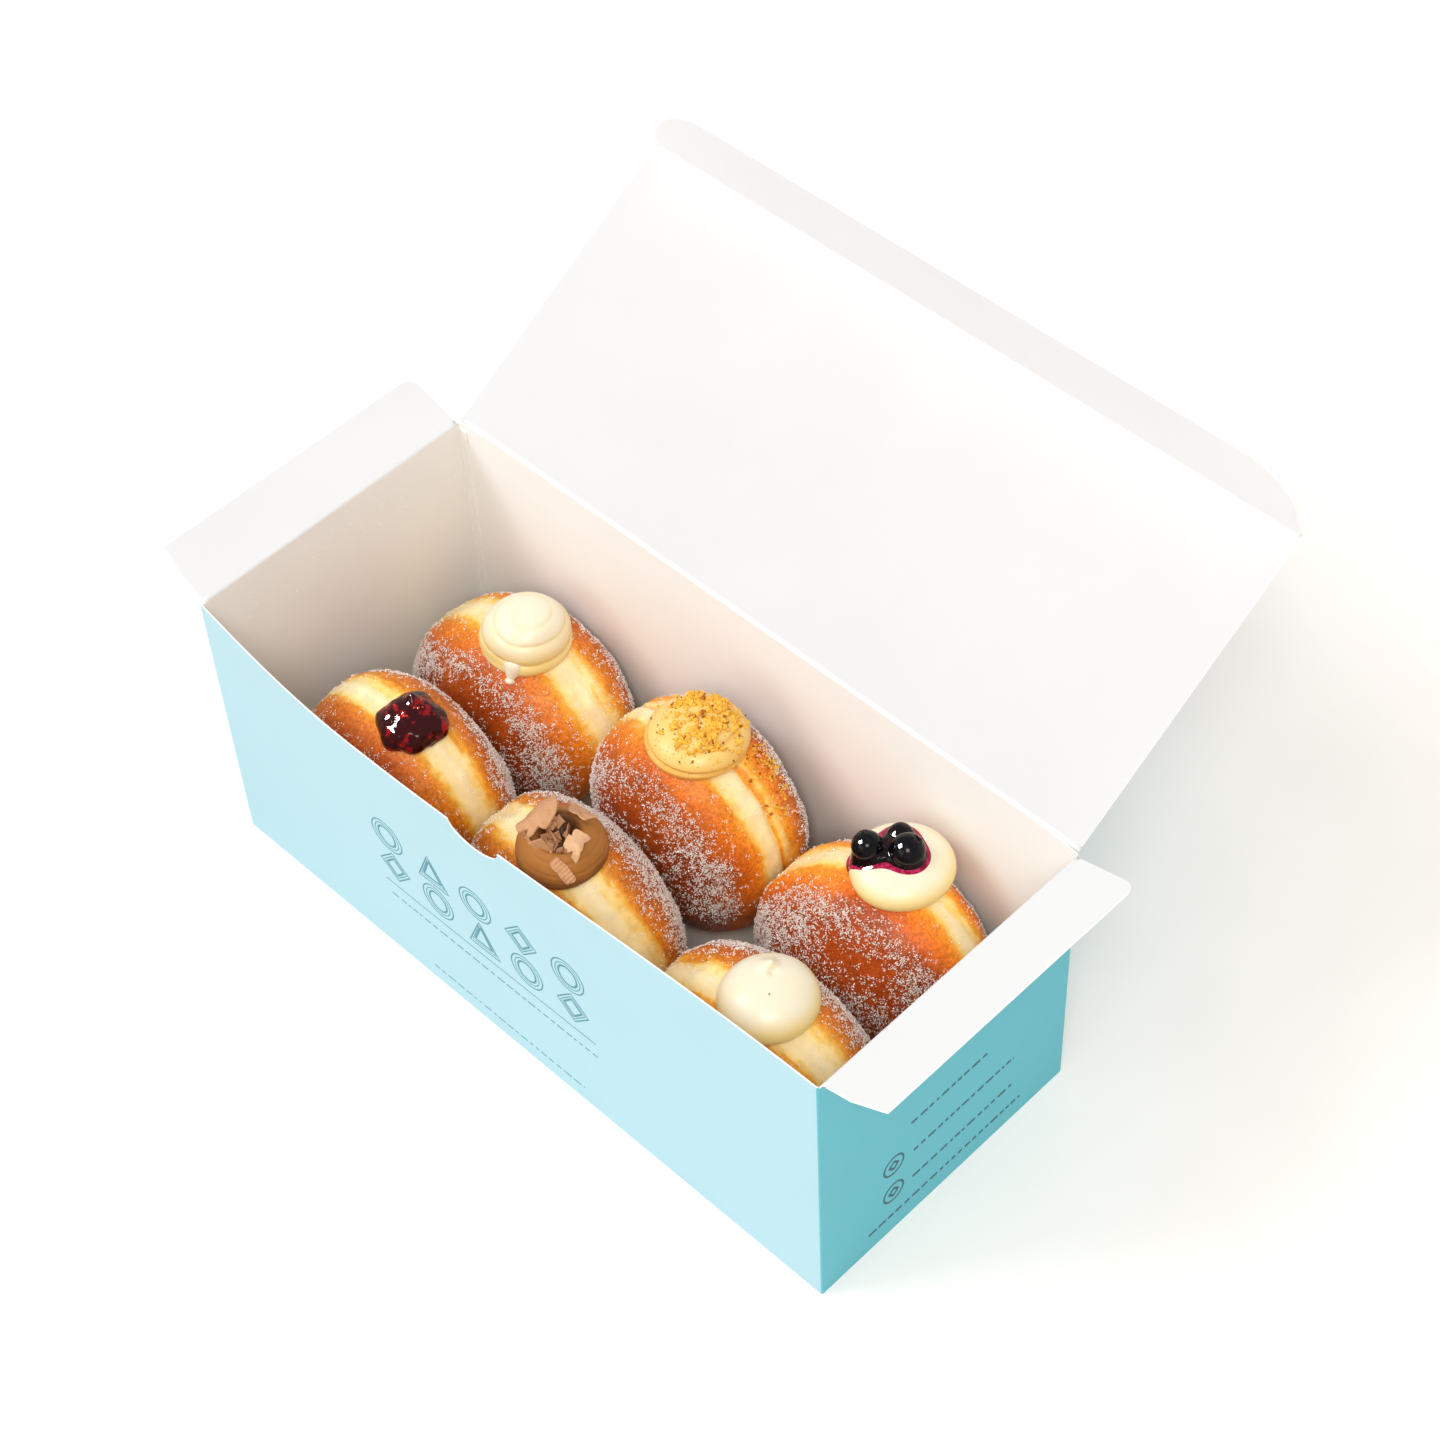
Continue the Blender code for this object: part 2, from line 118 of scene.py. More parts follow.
def per_metre(size_mm: float) -> float:
    """Return the pattern scale whose features are about size_mm across."""
    return 1000.0 / size_mm


def feed(node: bpy.types.Node, links: dict) -> None:
    """Give a node's inputs, by name or index, a value each or the socket that feeds it."""
    for key, value in links.items():
        if isinstance(value, Socket):
            node.id_data.links.new(value, node.inputs[key])
        else:
            node.inputs[key].default_value = value


def add_node(tree: bpy.types.NodeTree, kind: str, links: dict | None = None,
             **settings: object) -> bpy.types.Node:
    """Add one shader node.

    Args:
        tree: The material's node tree.
        kind: The node's type name.
        links: Input name or index, and the value or socket that feeds it.
        **settings: Properties of the node.

    Returns:
        The new node.
    """
    node = tree.nodes.new(kind)
    for key, value in settings.items():
        setattr(node, key, value)
    feed(node, links or {})
    return node


def set_stops(ramp: bpy.types.Node, stops: tuple[tuple[float, str], ...]) -> Socket:
    """Give a colour ramp its stops.

    Args:
        ramp: The ramp node.
        stops: Place from 0 to 1 and sRGB hex value of each stop.

    Returns:
        The ramp's colour output.
    """
    elements = ramp.color_ramp.elements
    while len(elements) < len(stops):
        elements.new(0.5)
    for element, (place, code) in zip(elements, sorted(stops)):
        element.position = place
        element.color = linear(code)
    return ramp.outputs["Color"]


def smoothstep(low: float, high: float, value: np.ndarray) -> np.ndarray:
    """Return 0 below low, 1 above high and a smooth rise between them."""
    share = np.clip((value - low) / (high - low), 0.0, 1.0)
    return share * share * (3.0 - 2.0 * share)


def bell(value: np.ndarray) -> np.ndarray:
    """Return 1 at 0 and a bell-shaped fall to 0 on both sides."""
    return np.exp(-value ** 2)


def around(count: int) -> np.ndarray:
    """Return evenly spaced angles round a full turn."""
    return np.linspace(0, 2 * math.pi, count, endpoint=False)


def facing(turn: np.ndarray, degrees: float) -> np.ndarray:
    """Return 1 where the angle turn points in a direction and -1 where it points away."""
    return np.cos(turn - math.radians(degrees))


def turned(degrees: float, axis: str) -> Matrix:
    """Return a turn about an axis."""
    return Matrix.Rotation(math.radians(degrees), 4, axis)


class SpaceNoise:
    """Smooth repeatable noise in space, from a cube of random numbers."""

    SIDE = 24

    def __init__(self, seed: int) -> None:
        """Fill the cube of random numbers from a seed."""
        self.table = np.random.default_rng(seed).uniform(-1, 1, (self.SIDE,) * 3)

    def at(self, points: np.ndarray, feature: float | np.ndarray) -> np.ndarray:
        """Read the noise at places.

        Args:
            points: Places in metres, in an array of any shape with X, Y and Z last.
            feature: Size of the noise's features in metres, one or one per axis.

        Returns:
            A value from -1 to 1 for each place.
        """
        cell = points.reshape(-1, 3) / feature
        base = np.floor(cell).astype(int)
        part = cell - base
        part = part * part * (3 - 2 * part)
        total = np.zeros(len(cell))
        for corner in product((0, 1), repeat=3):
            share = np.prod(np.where(corner, part, 1 - part), axis=1)
            i, j, k = ((base + corner) % self.SIDE).T
            total += share * self.table[i, j, k]
        return total.reshape(points.shape[:-1])

    def layered(self, points: np.ndarray, feature: float, octaves: int = 3) -> np.ndarray:
        """Sum the noise over octaves, each half as large and half as strong."""
        return sum(self.at(points, feature / 2 ** n) / 2 ** n for n in range(octaves))


def ring_quads(rings: int, segments: int) -> tuple[np.ndarray, np.ndarray, np.ndarray]:
    """Join closed rings of points with quads.

    Args:
        rings: How many rings there are.
        segments: How many points each has.

    Returns:
        Each point's number, the number after it on its ring, and the quads.
    """
    here = np.arange(rings * segments).reshape(rings, segments)
    after = np.roll(here, -1, axis=1)
    quads = np.stack([here[:-1], here[1:], after[1:], after[:-1]], -1)
    return here, after, quads.reshape(-1, 4)


def sideways(along: np.ndarray) -> np.ndarray:
    """Return unit vectors square to directions in a plane, on their left."""
    side = np.stack([-along[:, 1], along[:, 0]], -1)
    return side / np.linalg.norm(side, axis=1, keepdims=True)


def moved(points: np.ndarray, place: Matrix) -> np.ndarray:
    """Return points put in the row frame by a placing."""
    turn = np.array(place)
    return points @ turn[:3, :3].T + turn[:3, 3]


def add_object(name: str, data: bpy.types.ID) -> bpy.types.Object:
    """Link a new object into the scene and return it."""
    made = bpy.data.objects.new(name, data)
    bpy.context.scene.collection.objects.link(made)
    return made


@dataclass
class Skin:
    """A closed surface of rings of points with a pole at each end.

    Attributes:
        grid: Points, rings by segments by three.
        first: Pole before the first ring.
        last: Pole after the last ring.
    """

    grid: np.ndarray
    first: np.ndarray
    last: np.ndarray

    def points(self) -> np.ndarray:
        """Return all points, rings first and the two poles last."""
        return np.vstack([self.grid.reshape(-1, 3), self.first, self.last])

    def faces(self) -> list[np.ndarray]:
        """Return the quads between rings and the triangles round the poles."""
        here, after, quads = ring_quads(*self.grid.shape[:2])
        segments, count = len(here[0]), here.size
        top = np.stack([here[0], after[0], np.full(segments, count)], -1)
        low = np.stack([after[-1], here[-1], np.full(segments, count + 1)], -1)
        return [quads, top, low]

    def normals(self) -> np.ndarray:
        """Return a unit normal for each point of the grid, facing out."""
        along = np.roll(self.grid, -1, axis=1) - np.roll(self.grid, 1, axis=1)
        padded = np.concatenate([
            np.broadcast_to(self.first, self.grid[:1].shape), self.grid,
            np.broadcast_to(self.last, self.grid[:1].shape)])
        across = padded[2:] - padded[:-2]
        normal = np.cross(across, along)
        length = np.linalg.norm(normal, axis=2, keepdims=True)
        return normal / np.maximum(length, 1e-12)

    def push(self, distance: np.ndarray) -> None:
        """Move the grid's points along their normals."""
        self.grid = self.grid + self.normals() * distance.reshape(*self.grid.shape[:2], 1)


def add_piece(name: str, points: np.ndarray, faces: list, finishes: list, body: str,
              face_finish: np.ndarray | None = None, smooth: bool = True,
              place: Matrix | None = None) -> bpy.types.Object:
    """Make a mesh piece, give it its finishes and let it ride on a body.

    Args:
        name: The piece's name.
        points: Its points in metres, in its own axes if place is given.
        faces: Arrays or lists of point numbers.
        finishes: Materials in slot order.
        body: The CAD body it moves with.
        face_finish: Material number of each face.
        smooth: Whether its faces are shaded smooth.
        place: Its place in the row frame.

    Returns:
        The new object.
    """
    points = np.asarray(points, float)
    if place is not None:
        points = moved(points, place)
    groups = [np.asarray(group) for group in faces]
    corners = np.concatenate([group.ravel() for group in groups]).astype(np.int32)
    sizes = np.concatenate([np.full(len(group), group.shape[1]) for group in groups])
    mesh = bpy.data.meshes.new(name)
    mesh.vertices.add(len(points))
    mesh.vertices.foreach_set("co", points.ravel())
    mesh.loops.add(len(corners))
    mesh.loops.foreach_set("vertex_index", corners)
    mesh.polygons.add(len(sizes))
    mesh.polygons.foreach_set("loop_start", (np.cumsum(sizes) - sizes).astype(np.int32))
    for finish in finishes:
        mesh.materials.append(finish)
    if face_finish is not None:
        mesh.polygons.foreach_set("material_index", face_finish.astype(np.int32))
    mesh.polygons.foreach_set("use_smooth", np.full(len(mesh.polygons), smooth))
    mesh.update(calc_edges=True)
    made = add_object(name, mesh)
    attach(made, body)
    LOG.info("piece %s on %s, %d faces", name, body, len(mesh.polygons))
    return made


def add_food(name: str, skin: Skin, finish: Material, node: str | None = None,
             place: Matrix | None = None) -> bpy.types.Object:
    """Make a piece of food from its skin; it rides on the carton.

    Args:
        name: The piece's name.
        skin: Its surface.
        finish: Its material.
        node: The CAD node it replaces, if any.
        place: Its place in the row frame.

    Returns:
        The new object.
    """
    made = add_piece(name, skin.points(), skin.faces(), [finish], "carton", place=place)
    if node:
        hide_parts(node)
    return made


def set_values(made: bpy.types.Object, name: str, values: np.ndarray) -> None:
    """Store one number for each point of a piece under a name."""
    attribute = made.data.attributes.new(name, "FLOAT", "POINT")
    attribute.data.foreach_set("value", values.astype(np.float32))


def box_middle(node: str) -> Vector:
    """Return the middle of a CAD node's box."""
    low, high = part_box(node)
    return (low + high) / 2


def half_height(node: str) -> float:
    """Return half the height of a CAD node's box, which is a ball's radius."""
    low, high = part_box(node)
    return (high.z - low.z) / 2


# ---------------------------------------------------------------- finishes


class Paint:
    """A new Principled material and the few nodes that the finishes share."""

    def __init__(self, name: str) -> None:
        """Start a named material."""
        self.made = bpy.data.materials.new(name)
        self.made.use_nodes = True
        self.tree = self.made.node_tree
        self.shader = self.tree.nodes["Principled BSDF"]
        self.place = add_node(self.tree, "ShaderNodeTexCoord").outputs["Object"]

    def shade(self, links: dict) -> None:
        """Give the shader's inputs values or sockets."""
        feed(self.shader, links)

    def attribute(self, name: str) -> Socket:
        """Return a number stored with the mesh's points."""
        return add_node(self.tree, "ShaderNodeAttribute", attribute_name=name).outputs["Fac"]

    def noise(self, size_mm: float, detail: float = 3.0, roughness: float = 0.5) -> Socket:
        """Return noise round 0.5 whose features are size_mm across."""
        return add_node(self.tree, "ShaderNodeTexNoise",
                        {"Vector": self.place, "Scale": per_metre(size_mm), "Detail": detail,
                         "Roughness": roughness}).outputs["Fac"]

    def spread(self, value: Socket, source: Pair, start: float, end: float | Socket) -> Socket:
        """Map a value from the source range to start..end, held at both ends."""
        return add_node(self.tree, "ShaderNodeMapRange",
                        {0: value, 1: source[0], 2: source[1], 3: start, 4: end}).outputs[0]

    def merge(self, first: Socket, second: Socket, operation: str = "ADD",
              clamp: bool = False) -> Socket:
        """Return two values added, or merged by another operation."""
        return add_node(self.tree, "ShaderNodeMath", {0: first, 1: second},
                        operation=operation, use_clamp=clamp).outputs[0]

    def mix(self, share: Socket, first: Colour | Socket, second: Colour | Socket,
            blend: str = "MIX") -> Socket:
        """Return the first colour with a share of the second mixed in."""
        return add_node(self.tree, "ShaderNodeMix", {0: share, 6: first, 7: second},
                        data_type="RGBA", blend_type=blend).outputs[2]

    def tint(self, colour: Colour | Socket, factor: Socket) -> Socket:
        """Return a colour multiplied by a factor."""
        return self.mix(1.0, colour, factor, "MULTIPLY")

    def relief(self, height: Socket, strength: float, depth_mm: float) -> None:
        """Let a height stand out of the surface as bump."""
        bump = add_node(self.tree, "ShaderNodeBump", {
            "Strength": strength, "Distance": depth_mm * MM, "Height": height})
        self.shade({"Normal": bump.outputs[0]})


# Where nearly all of a noise's values lie.
NOISE_RANGE = (0.3, 0.7)


@dataclass(frozen=True)
class Finish:
    """One surface finish: a named Principled material.

    Attributes:
        name: What the material is and how it was made.
        colour: Main sRGB colour.
        roughness: Microfacet roughness.
        ior: Index of refraction.
    """

    name: str
    colour: str = "#ffffff"
    roughness: float = 0.5
    ior: float = 1.45

    def material(self) -> Material:
        """Build the material and return it."""
        paint = Paint(self.name)
        paint.shade({"Roughness": self.roughness, "IOR": self.ior})
        self.dress(paint)
        paint.made.diffuse_color = linear(self.colour)
        return paint.made

    def dress(self, paint: Paint) -> None:
        """Paint a mottled colour; finishes with more to them override this."""
        self.mottle(paint, 6.0, 0.08)

    def mottle(self, paint: Paint, size_mm: float, strength: float) -> None:
        """Paint the main colour, darkened by noise of a size by up to a strength."""
        share = paint.spread(paint.noise(size_mm, 4.0), NOISE_RANGE, 1.0 - strength, 1.0)
        paint.shade({"Base Color": paint.tint(linear(self.colour), share)})


@dataclass(frozen=True)
class Board(Finish):
    """Folding boxboard, clay-coated and matt: near-even colour with a faint fibre grain.

    Attributes:
        grain_mm: Fibre clumps; real ones are 0.1 mm, drawn coarser so that they show.
        grain: Strength of the grain's bump.
        drift_mm: Size of the coat's slow change of tone.
        drift: How far the tone changes.
    """

    grain_mm: float = 0.9
    grain: float = 0.05
    drift_mm: float = 45.0
    drift: float = 0.025

    def dress(self, paint: Paint) -> None:
        """Paint the even coat, its slow tone drift and the fibre bump."""
        self.mottle(paint, self.drift_mm, self.drift)
        paint.relief(paint.noise(self.grain_mm), self.grain, 0.1)


@dataclass(frozen=True)
class FriedDough(Finish):
    """Yeast dough fried on both sides: pale soft band, golden edge, brown crust, sugar film.

    Attributes:
        stops: Colours from the band's middle, 0, to the darkest crust.
        film: Colour of the finest sugar that clings between the crystals.
        film_cover: How much of the crust the film hides where it lies.
        film_roughness: Roughness under the film.
    """

    roughness: float = 0.42
    stops: tuple[tuple[float, str], ...] = (
        (0.00, "#fae6b8"), (0.13, "#f8dea0"), (0.19, "#f6cc70"), (0.235, "#f2aa3a"),
        (0.28, "#f0962c"), (0.36, "#ea8424"), (0.50, "#de721e"), (0.66, "#c85e1c"),
        (0.84, "#a44412"))
    film: str = "#f6e0d0"
    film_cover: float = 0.74
    film_roughness: float = 0.85

    def dress(self, paint: Paint) -> None:
        """Paint band-to-crust colours, blotches, painted light and shade, sugar film, skin relief.

        Args:
            paint: The material to paint.
        """
        paint.shade({"Specular IOR Level": 0.3})
        fry_and_light_tone, band, sugar = map(paint.attribute, ("fry_and_light_tone", "band", "sugar"))
        # The band's edge wanders, as oil creeps up the side while the cake floats.
        edge = paint.merge(band, paint.spread(paint.noise(2.6, 4.0), NOISE_RANGE, -0.028, 0.028))
        crust = set_stops(add_node(paint.tree, "ShaderNodeValToRGB", {"Fac": edge}), self.stops)
        blotches = paint.noise(7.0, 5.0, 0.62)
        crust = paint.tint(crust, paint.spread(blotches, NOISE_RANGE, 0.87, 1.06))
        # Dark pores, and painted shade that darkens the crust between the crystals where the
        # sugar lies thick, neither of them on the pale band.
        flecks = paint.spread(paint.noise(1.2, 3.0, 0.7), (0.36, 0.62), 0.64, 1.12)
        under = paint.spread(sugar, (0.15, 0.8), 1.04, 0.74)
        for tone in (flecks, under):
            crust = paint.tint(crust, paint.spread(edge, (0.20, 0.32), 1.0, tone))
        # Each cake's tone: a darker fry, and painted light, darker on the front row and lighter on
        # the back to even out the light they get.
        crust = paint.tint(crust, paint.spread(edge, (0.17, 0.32), 1.0, fry_and_light_tone))
        # The film breaks up into grains; real ones are 0.3 mm, drawn coarser so that they show.
        need = paint.spread(sugar, (0.12, 0.9), 0.78, 0.50)
        over = paint.merge(paint.noise(0.6, 1.0, 0.6), need, "SUBTRACT")
        cover = paint.spread(over, (0.0, 0.04), 0.0, self.film_cover)
        paint.shade({
            "Base Color": paint.mix(cover, crust, linear(self.film)),
            "Roughness": paint.spread(cover, (0.0, 0.8), self.roughness, self.film_roughness)})
        paint.relief(paint.merge(paint.noise(1.1, 5.0, 0.65), cover), 0.55, 0.35)


@dataclass(frozen=True)
class Crystal(Finish):
    """Granulated sugar: clear cubes that read as bright white glints."""

    roughness: float = 0.18
    ior: float = 1.54

    def dress(self, paint: Paint) -> None:
        """Paint whites that differ from grain to grain and glow from within."""
        self.mottle(paint, 1.0, 0.20)
        paint.shade({"Subsurface Weight": 0.6, "Subsurface Radius": (1.0, 1.0, 1.0),
                     "Subsurface Scale": 0.6 * MM})


@dataclass(frozen=True)
class Cream(Finish):
    """Set cream or custard: smooth, moist and slightly see-through at thin edges.

    Attributes:
        deep: Colour of the painted shade in the folds and low down.
        specks: How many fine specks show, from 0 to 1.
        speck: Their colour.
        glow: Share of the light that scatters inside it.
        shine: Strength of its gloss.
    """

    deep: str = "#f2cf7a"
    roughness: float = 0.3
    specks: float = 0.0
    speck: str = "#8a4a12"
    glow: float = 0.25
    shine: float = 0.5

    def dress(self, paint: Paint) -> None:
        """Paint the cream, painted shade in its folds and low rim, fine specks and soft bump."""
        drift = paint.spread(paint.noise(9.0), NOISE_RANGE, -0.12, 0.12)
        # The fold values are painted shade that mixes in the deep colour.
        share = paint.merge(paint.attribute("fold"), drift, clamp=True)
        colour = paint.mix(share, linear(self.colour), linear(self.deep))
        if self.specks:
            spots = add_node(paint.tree, "ShaderNodeTexVoronoi",
                             {"Vector": paint.place, "Scale": per_metre(1.7)})
            there = paint.spread(spots.outputs["Distance"], (0.10, 0.22), self.specks, 0.0)
            colour = paint.mix(there, colour, linear(self.speck))
        paint.shade({"Base Color": colour, "Subsurface Weight": self.glow,
                     "Specular IOR Level": self.shine, "Subsurface Radius": (1.0, 0.7, 0.35),
                     "Subsurface Scale": 1.5 * MM})
        paint.relief(paint.noise(2.5), 0.12, 0.3)


@dataclass(frozen=True)
class Syrup(Finish):
    """Set fruit or sugar glaze: dark body, coloured where thin, with a wet gloss.

    Attributes:
        thin: Colour where the light gets through.
        thin_share: How much of the surface shows it.
        lump_mm: Size of the fruit pieces inside.
        bump: Strength of the lumps' relief.
    """

    thin: str = "#a01020"
    thin_share: float = 0.3
    lump_mm: float = 2.4
    bump: float = 0.25
    roughness: float = 0.07
    ior: float = 1.37

    def dress(self, paint: Paint) -> None:
        """Paint the dark body with thin red places and a lumpy wet surface."""
        lumps = paint.noise(self.lump_mm, 3.0, 0.55)
        low = 0.62 - 0.35 * self.thin_share
        share = paint.spread(lumps, (low, low + 0.09), 0.0, 1.0)
        paint.shade({"Specular IOR Level": 0.35,
                     "Base Color": paint.mix(share, linear(self.colour), linear(self.thin))})
        paint.relief(lumps, self.bump, 0.5)


# ---------------------------------------------------------------- scattered grains


class Lump(Enum):
    """Starting shape of one scattered piece."""

    CRYSTAL = "crystal"
    CRUMB = "crumb"
    FLAKE = "flake"


class Grains:
    """Builds many small lumps as one joined mesh."""

    def __init__(self, kind: Lump, seed: int) -> None:
        """Choose the starting shape and seed the random turns.

        Args:
            kind: Which shape the lumps start from.
            seed: Seed of their unevenness.
        """
        self.rng = np.random.default_rng(seed)
        shape = np.array([[1, 0, 0], [-1, 0, 0], [0, 1, 0], [0, -1, 0], [0, 0, 1], [0, 0, -1]],
                         float)
        sides = np.array([[0, 2, 4], [2, 1, 4], [1, 3, 4], [3, 0, 4],
                          [2, 0, 5], [1, 2, 5], [3, 1, 5], [0, 3, 5]])
        if kind is Lump.CRYSTAL:
            angle = 2 * math.pi * np.arange(3) / 3
            waist = np.stack([np.cos(angle), np.sin(angle), np.zeros(3)], -1)
            shape = np.concatenate([waist, [[0, 0, 1.0], [0, 0, -1.0]]])
            sides = np.array([t for a, b in ((0, 1), (1, 2), (2, 0))
                              for t in ([a, b, 3], [b, a, 4])])
        if kind is Lump.CRUMB:
            shape, sides = self.split(shape, sides)
        if kind is Lump.FLAKE:
            corners = [(-1, -1), (1, -1), (1, 1), (-1, 1)]
            shape = np.array([(x, y, z) for z in (1, -1) for x, y in corners], float)
            sides = np.array([[0, 1, 2], [0, 2, 3], [6, 5, 4], [7, 6, 4]] + [
                t for a, b in ((0, 1), (1, 2), (2, 3), (3, 0))
                for t in ([b, a, a + 4], [b, a + 4, b + 4])])
        self.shape, self.sides = shape, sides

    @staticmethod
    def split(points: np.ndarray, faces: np.ndarray) -> tuple[np.ndarray, np.ndarray]:
        """Split every triangle in four and push the new points onto the ball.

        Args:
            points: Points on the unit ball.
            faces: Triangles.

        Returns:
            The finer points and triangles.
        """
        made, middles, finer = [tuple(p) for p in points], {}, []

        def middle(a: int, b: int) -> int:
            """Return the number of the point half way along an edge."""
            key = (min(a, b), max(a, b))
            if key not in middles:
                half = (np.array(made[a]) + np.array(made[b])) / 2
                made.append(tuple(half / np.linalg.norm(half)))
                middles[key] = len(made) - 1
            return middles[key]

        for a, b, c in faces:
            ab, bc, ca = middle(a, b), middle(b, c), middle(c, a)
            finer += [[a, ab, ca], [ab, b, bc], [ca, bc, c], [ab, bc, ca]]
        return np.array(made), np.array(finer)

    def turns(self, count: int) -> np.ndarray:
        """Return count random rotation matrices."""
        q = self.rng.normal(size=(count, 4))
        w, x, y, z = (q / np.linalg.norm(q, axis=1, keepdims=True)).T
        return np.stack([
            1 - 2 * (y * y + z * z), 2 * (x * y - w * z), 2 * (x * z + w * y),
            2 * (x * y + w * z), 1 - 2 * (x * x + z * z), 2 * (y * z - w * x),
            2 * (x * z - w * y), 2 * (y * z + w * x), 1 - 2 * (x * x + y * y),
        ], -1).reshape(count, 3, 3)

    def scatter(self, name: str, places: np.ndarray, sizes: np.ndarray, finish: Material,
                place: Matrix | None = None, rough: float = 0.25) -> None:
        """Join a lump at every place, each turned, stretched and roughened, into one piece.

        Args:
            name: The piece's name.
            places: Middle of each lump.
            sizes: Half sizes of each lump along its three axes.
            finish: Its material.
            place: Place of all of them in the row frame.
            rough: How far a lump's corners wander, as a share of its size.
        """
        count, corners = len(places), len(self.shape)
        shape = self.shape * (1 + self.rng.uniform(-rough, rough, (count, corners, 1)))
        shape = shape * sizes[:, None, :]
        points = np.einsum("nij,nkj->nki", self.turns(count), shape) + places[:, None, :]
        faces = self.sides[None] + (np.arange(count) * corners)[:, None, None]
        add_piece(name, points.reshape(-1, 3), [faces.reshape(-1, 3)], [finish], "carton",
                  smooth=False, place=place)


# ---------------------------------------------------------------- carton


@dataclass
class Panel:
    """A flat board panel on a fold, as the CAD has it.

    Attributes:
        node: CAD node it replaces.
        body: Body it rides on.
        origin: Point on the fold.
        across: Direction along the fold.
        away: Direction away from the fold.
        outline: Outline in fold coordinates, counter-clockwise.
        inside_up: Whether the white side is on the side of across x away.
        pressed: How far the die draws its cut edge in.
    """

    node: str
    body: str
    origin: Vector
    across: Vector
    away: Vector
    outline: list[Pair]
    inside_up: bool
    pressed: float = 0.18 * MM

    def build(self, thickness: float, finishes: list[Material]) -> None:
        """Build the panel as a thin closed sheet with a pressed edge.

        Args:
            thickness: Board thickness.
            finishes: Outside, inside and cut-edge materials.
        """
        normal = self.across.cross(self.away)
        count = len(self.outline)
        outline = np.array(self.outline)
        inward = sideways(np.roll(outline, -1, axis=0) - np.roll(outline, 1, axis=0))
        points = []
        for share, inset in ((0.5, self.pressed), (0.36, 0.0), (-0.36, 0.0),
                             (-0.5, self.pressed)):
            points += [self.origin + self.across * x + self.away * y
                       + normal * (share * thickness) for x, y in outline + inward * inset]
        caps = [[list(range(count))], [list(range(4 * count - 1, 3 * count - 1, -1))]]
        sides = ring_quads(4, count)[2]
        top, low = (1, 0) if self.inside_up else (0, 1)
        made = add_piece(self.node + "_board", points, [*caps, sides], finishes, self.body,
                         np.array([top, low] + [2] * len(sides)), smooth=False)
        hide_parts(self.node)


class Motif(Enum):
    """Plain outlined shape printed on the carton."""

    RING = "ring"
    LOZENGE = "lozenge"
    TRIANGLE = "triangle"

    def outline(self, centre: Pair, half: Pair, shrink: float = 0.0) -> np.ndarray:
        """Return the motif's closed outline on the wall.

        Args:
            centre: Its middle.
            half: Half its width and height.
            shrink: Distance inside its outer line.

        Returns:
            Points on the wall.
        """
        if self is Motif.RING:
            angle = np.linspace(0, 2 * math.pi, 57)[:-1]
            shape = np.stack([np.cos(angle), np.sin(angle)], -1)
        else:
            corners = np.array({Motif.LOZENGE: [(0, -1), (1, 0), (0, 1), (-1, 0)],
                                Motif.TRIANGLE: [(-1, -1), (1, -1), (0, 1)]}[self], float)
            shape = np.concatenate([np.linspace(a, b, 9)[:-1] for a, b in
                                    zip(corners, np.roll(corners, -1, axis=0))])
        return np.array(centre) + shape * (np.array(half) - shrink)


class Ink:
    """Printed lines on one wall, gathered into one piece.

    Each line is a closed bar that stands a hair proud of the board and reaches into it.
    """

    PROUD, SUNK = 0.04 * MM, -0.06 * MM

    def __init__(self, place: Callable[[np.ndarray, np.ndarray, float], np.ndarray]) -> None:
        """Take the function that puts wall points, so far off the wall, in the row frame."""
        self.place = place
        self.points: list[np.ndarray] = []
        self.faces: list[np.ndarray] = []

    def stroke(self, path: np.ndarray, width: float, closed: bool = False) -> None:
        """Print one line.

        Args:
            path: Points on the wall.
            width: Line width.
            closed: Whether the path joins up.
        """
        along = (np.roll(path, -1, axis=0) - np.roll(path, 1, axis=0) if closed
                 else np.gradient(path, axis=0))
        side = sideways(along) * width / 2
        base, count = sum(len(part) for part in self.points), len(path)
        self.points.append(np.concatenate([
            self.place(*edge.T, proud) for edge, proud in (
                (path + side, self.PROUD), (path - side, self.PROUD),
                (path - side, self.SUNK), (path + side, self.SUNK))]))
        here = np.arange(count if closed else count - 1)[:, None]
        after = (here + 1) % count
        row = base + np.arange(4)[None] * count
        below = np.roll(row, -1)
        sides = np.stack([row + here, row + after, below + after, below + here], -1)
        self.faces.append(sides.reshape(-1, 4))
        if not closed:
            self.faces.append(np.array([row[0], row[0, ::-1] + count - 1]))

    def dashes(self, reach: Pair, level: float, width: float, seed: int) -> None:
        """Print a row of short bars of uneven length."""
        rng = np.random.default_rng(seed)
        here, high = reach
        while here < high:
            end = min(high, here + rng.uniform(1.2, 4.2) * MM)
            self.stroke(np.stack([np.linspace(here, end, 4), np.full(4, level)], -1), width)
            here = end + rng.uniform(0.9, 1.5) * MM

    def build(self, name: str, ink: Material) -> None:
        """Make the printed piece."""
        add_piece(name, np.concatenate(self.points), [np.concatenate(self.faces)], [ink],
                  "carton", smooth=False)


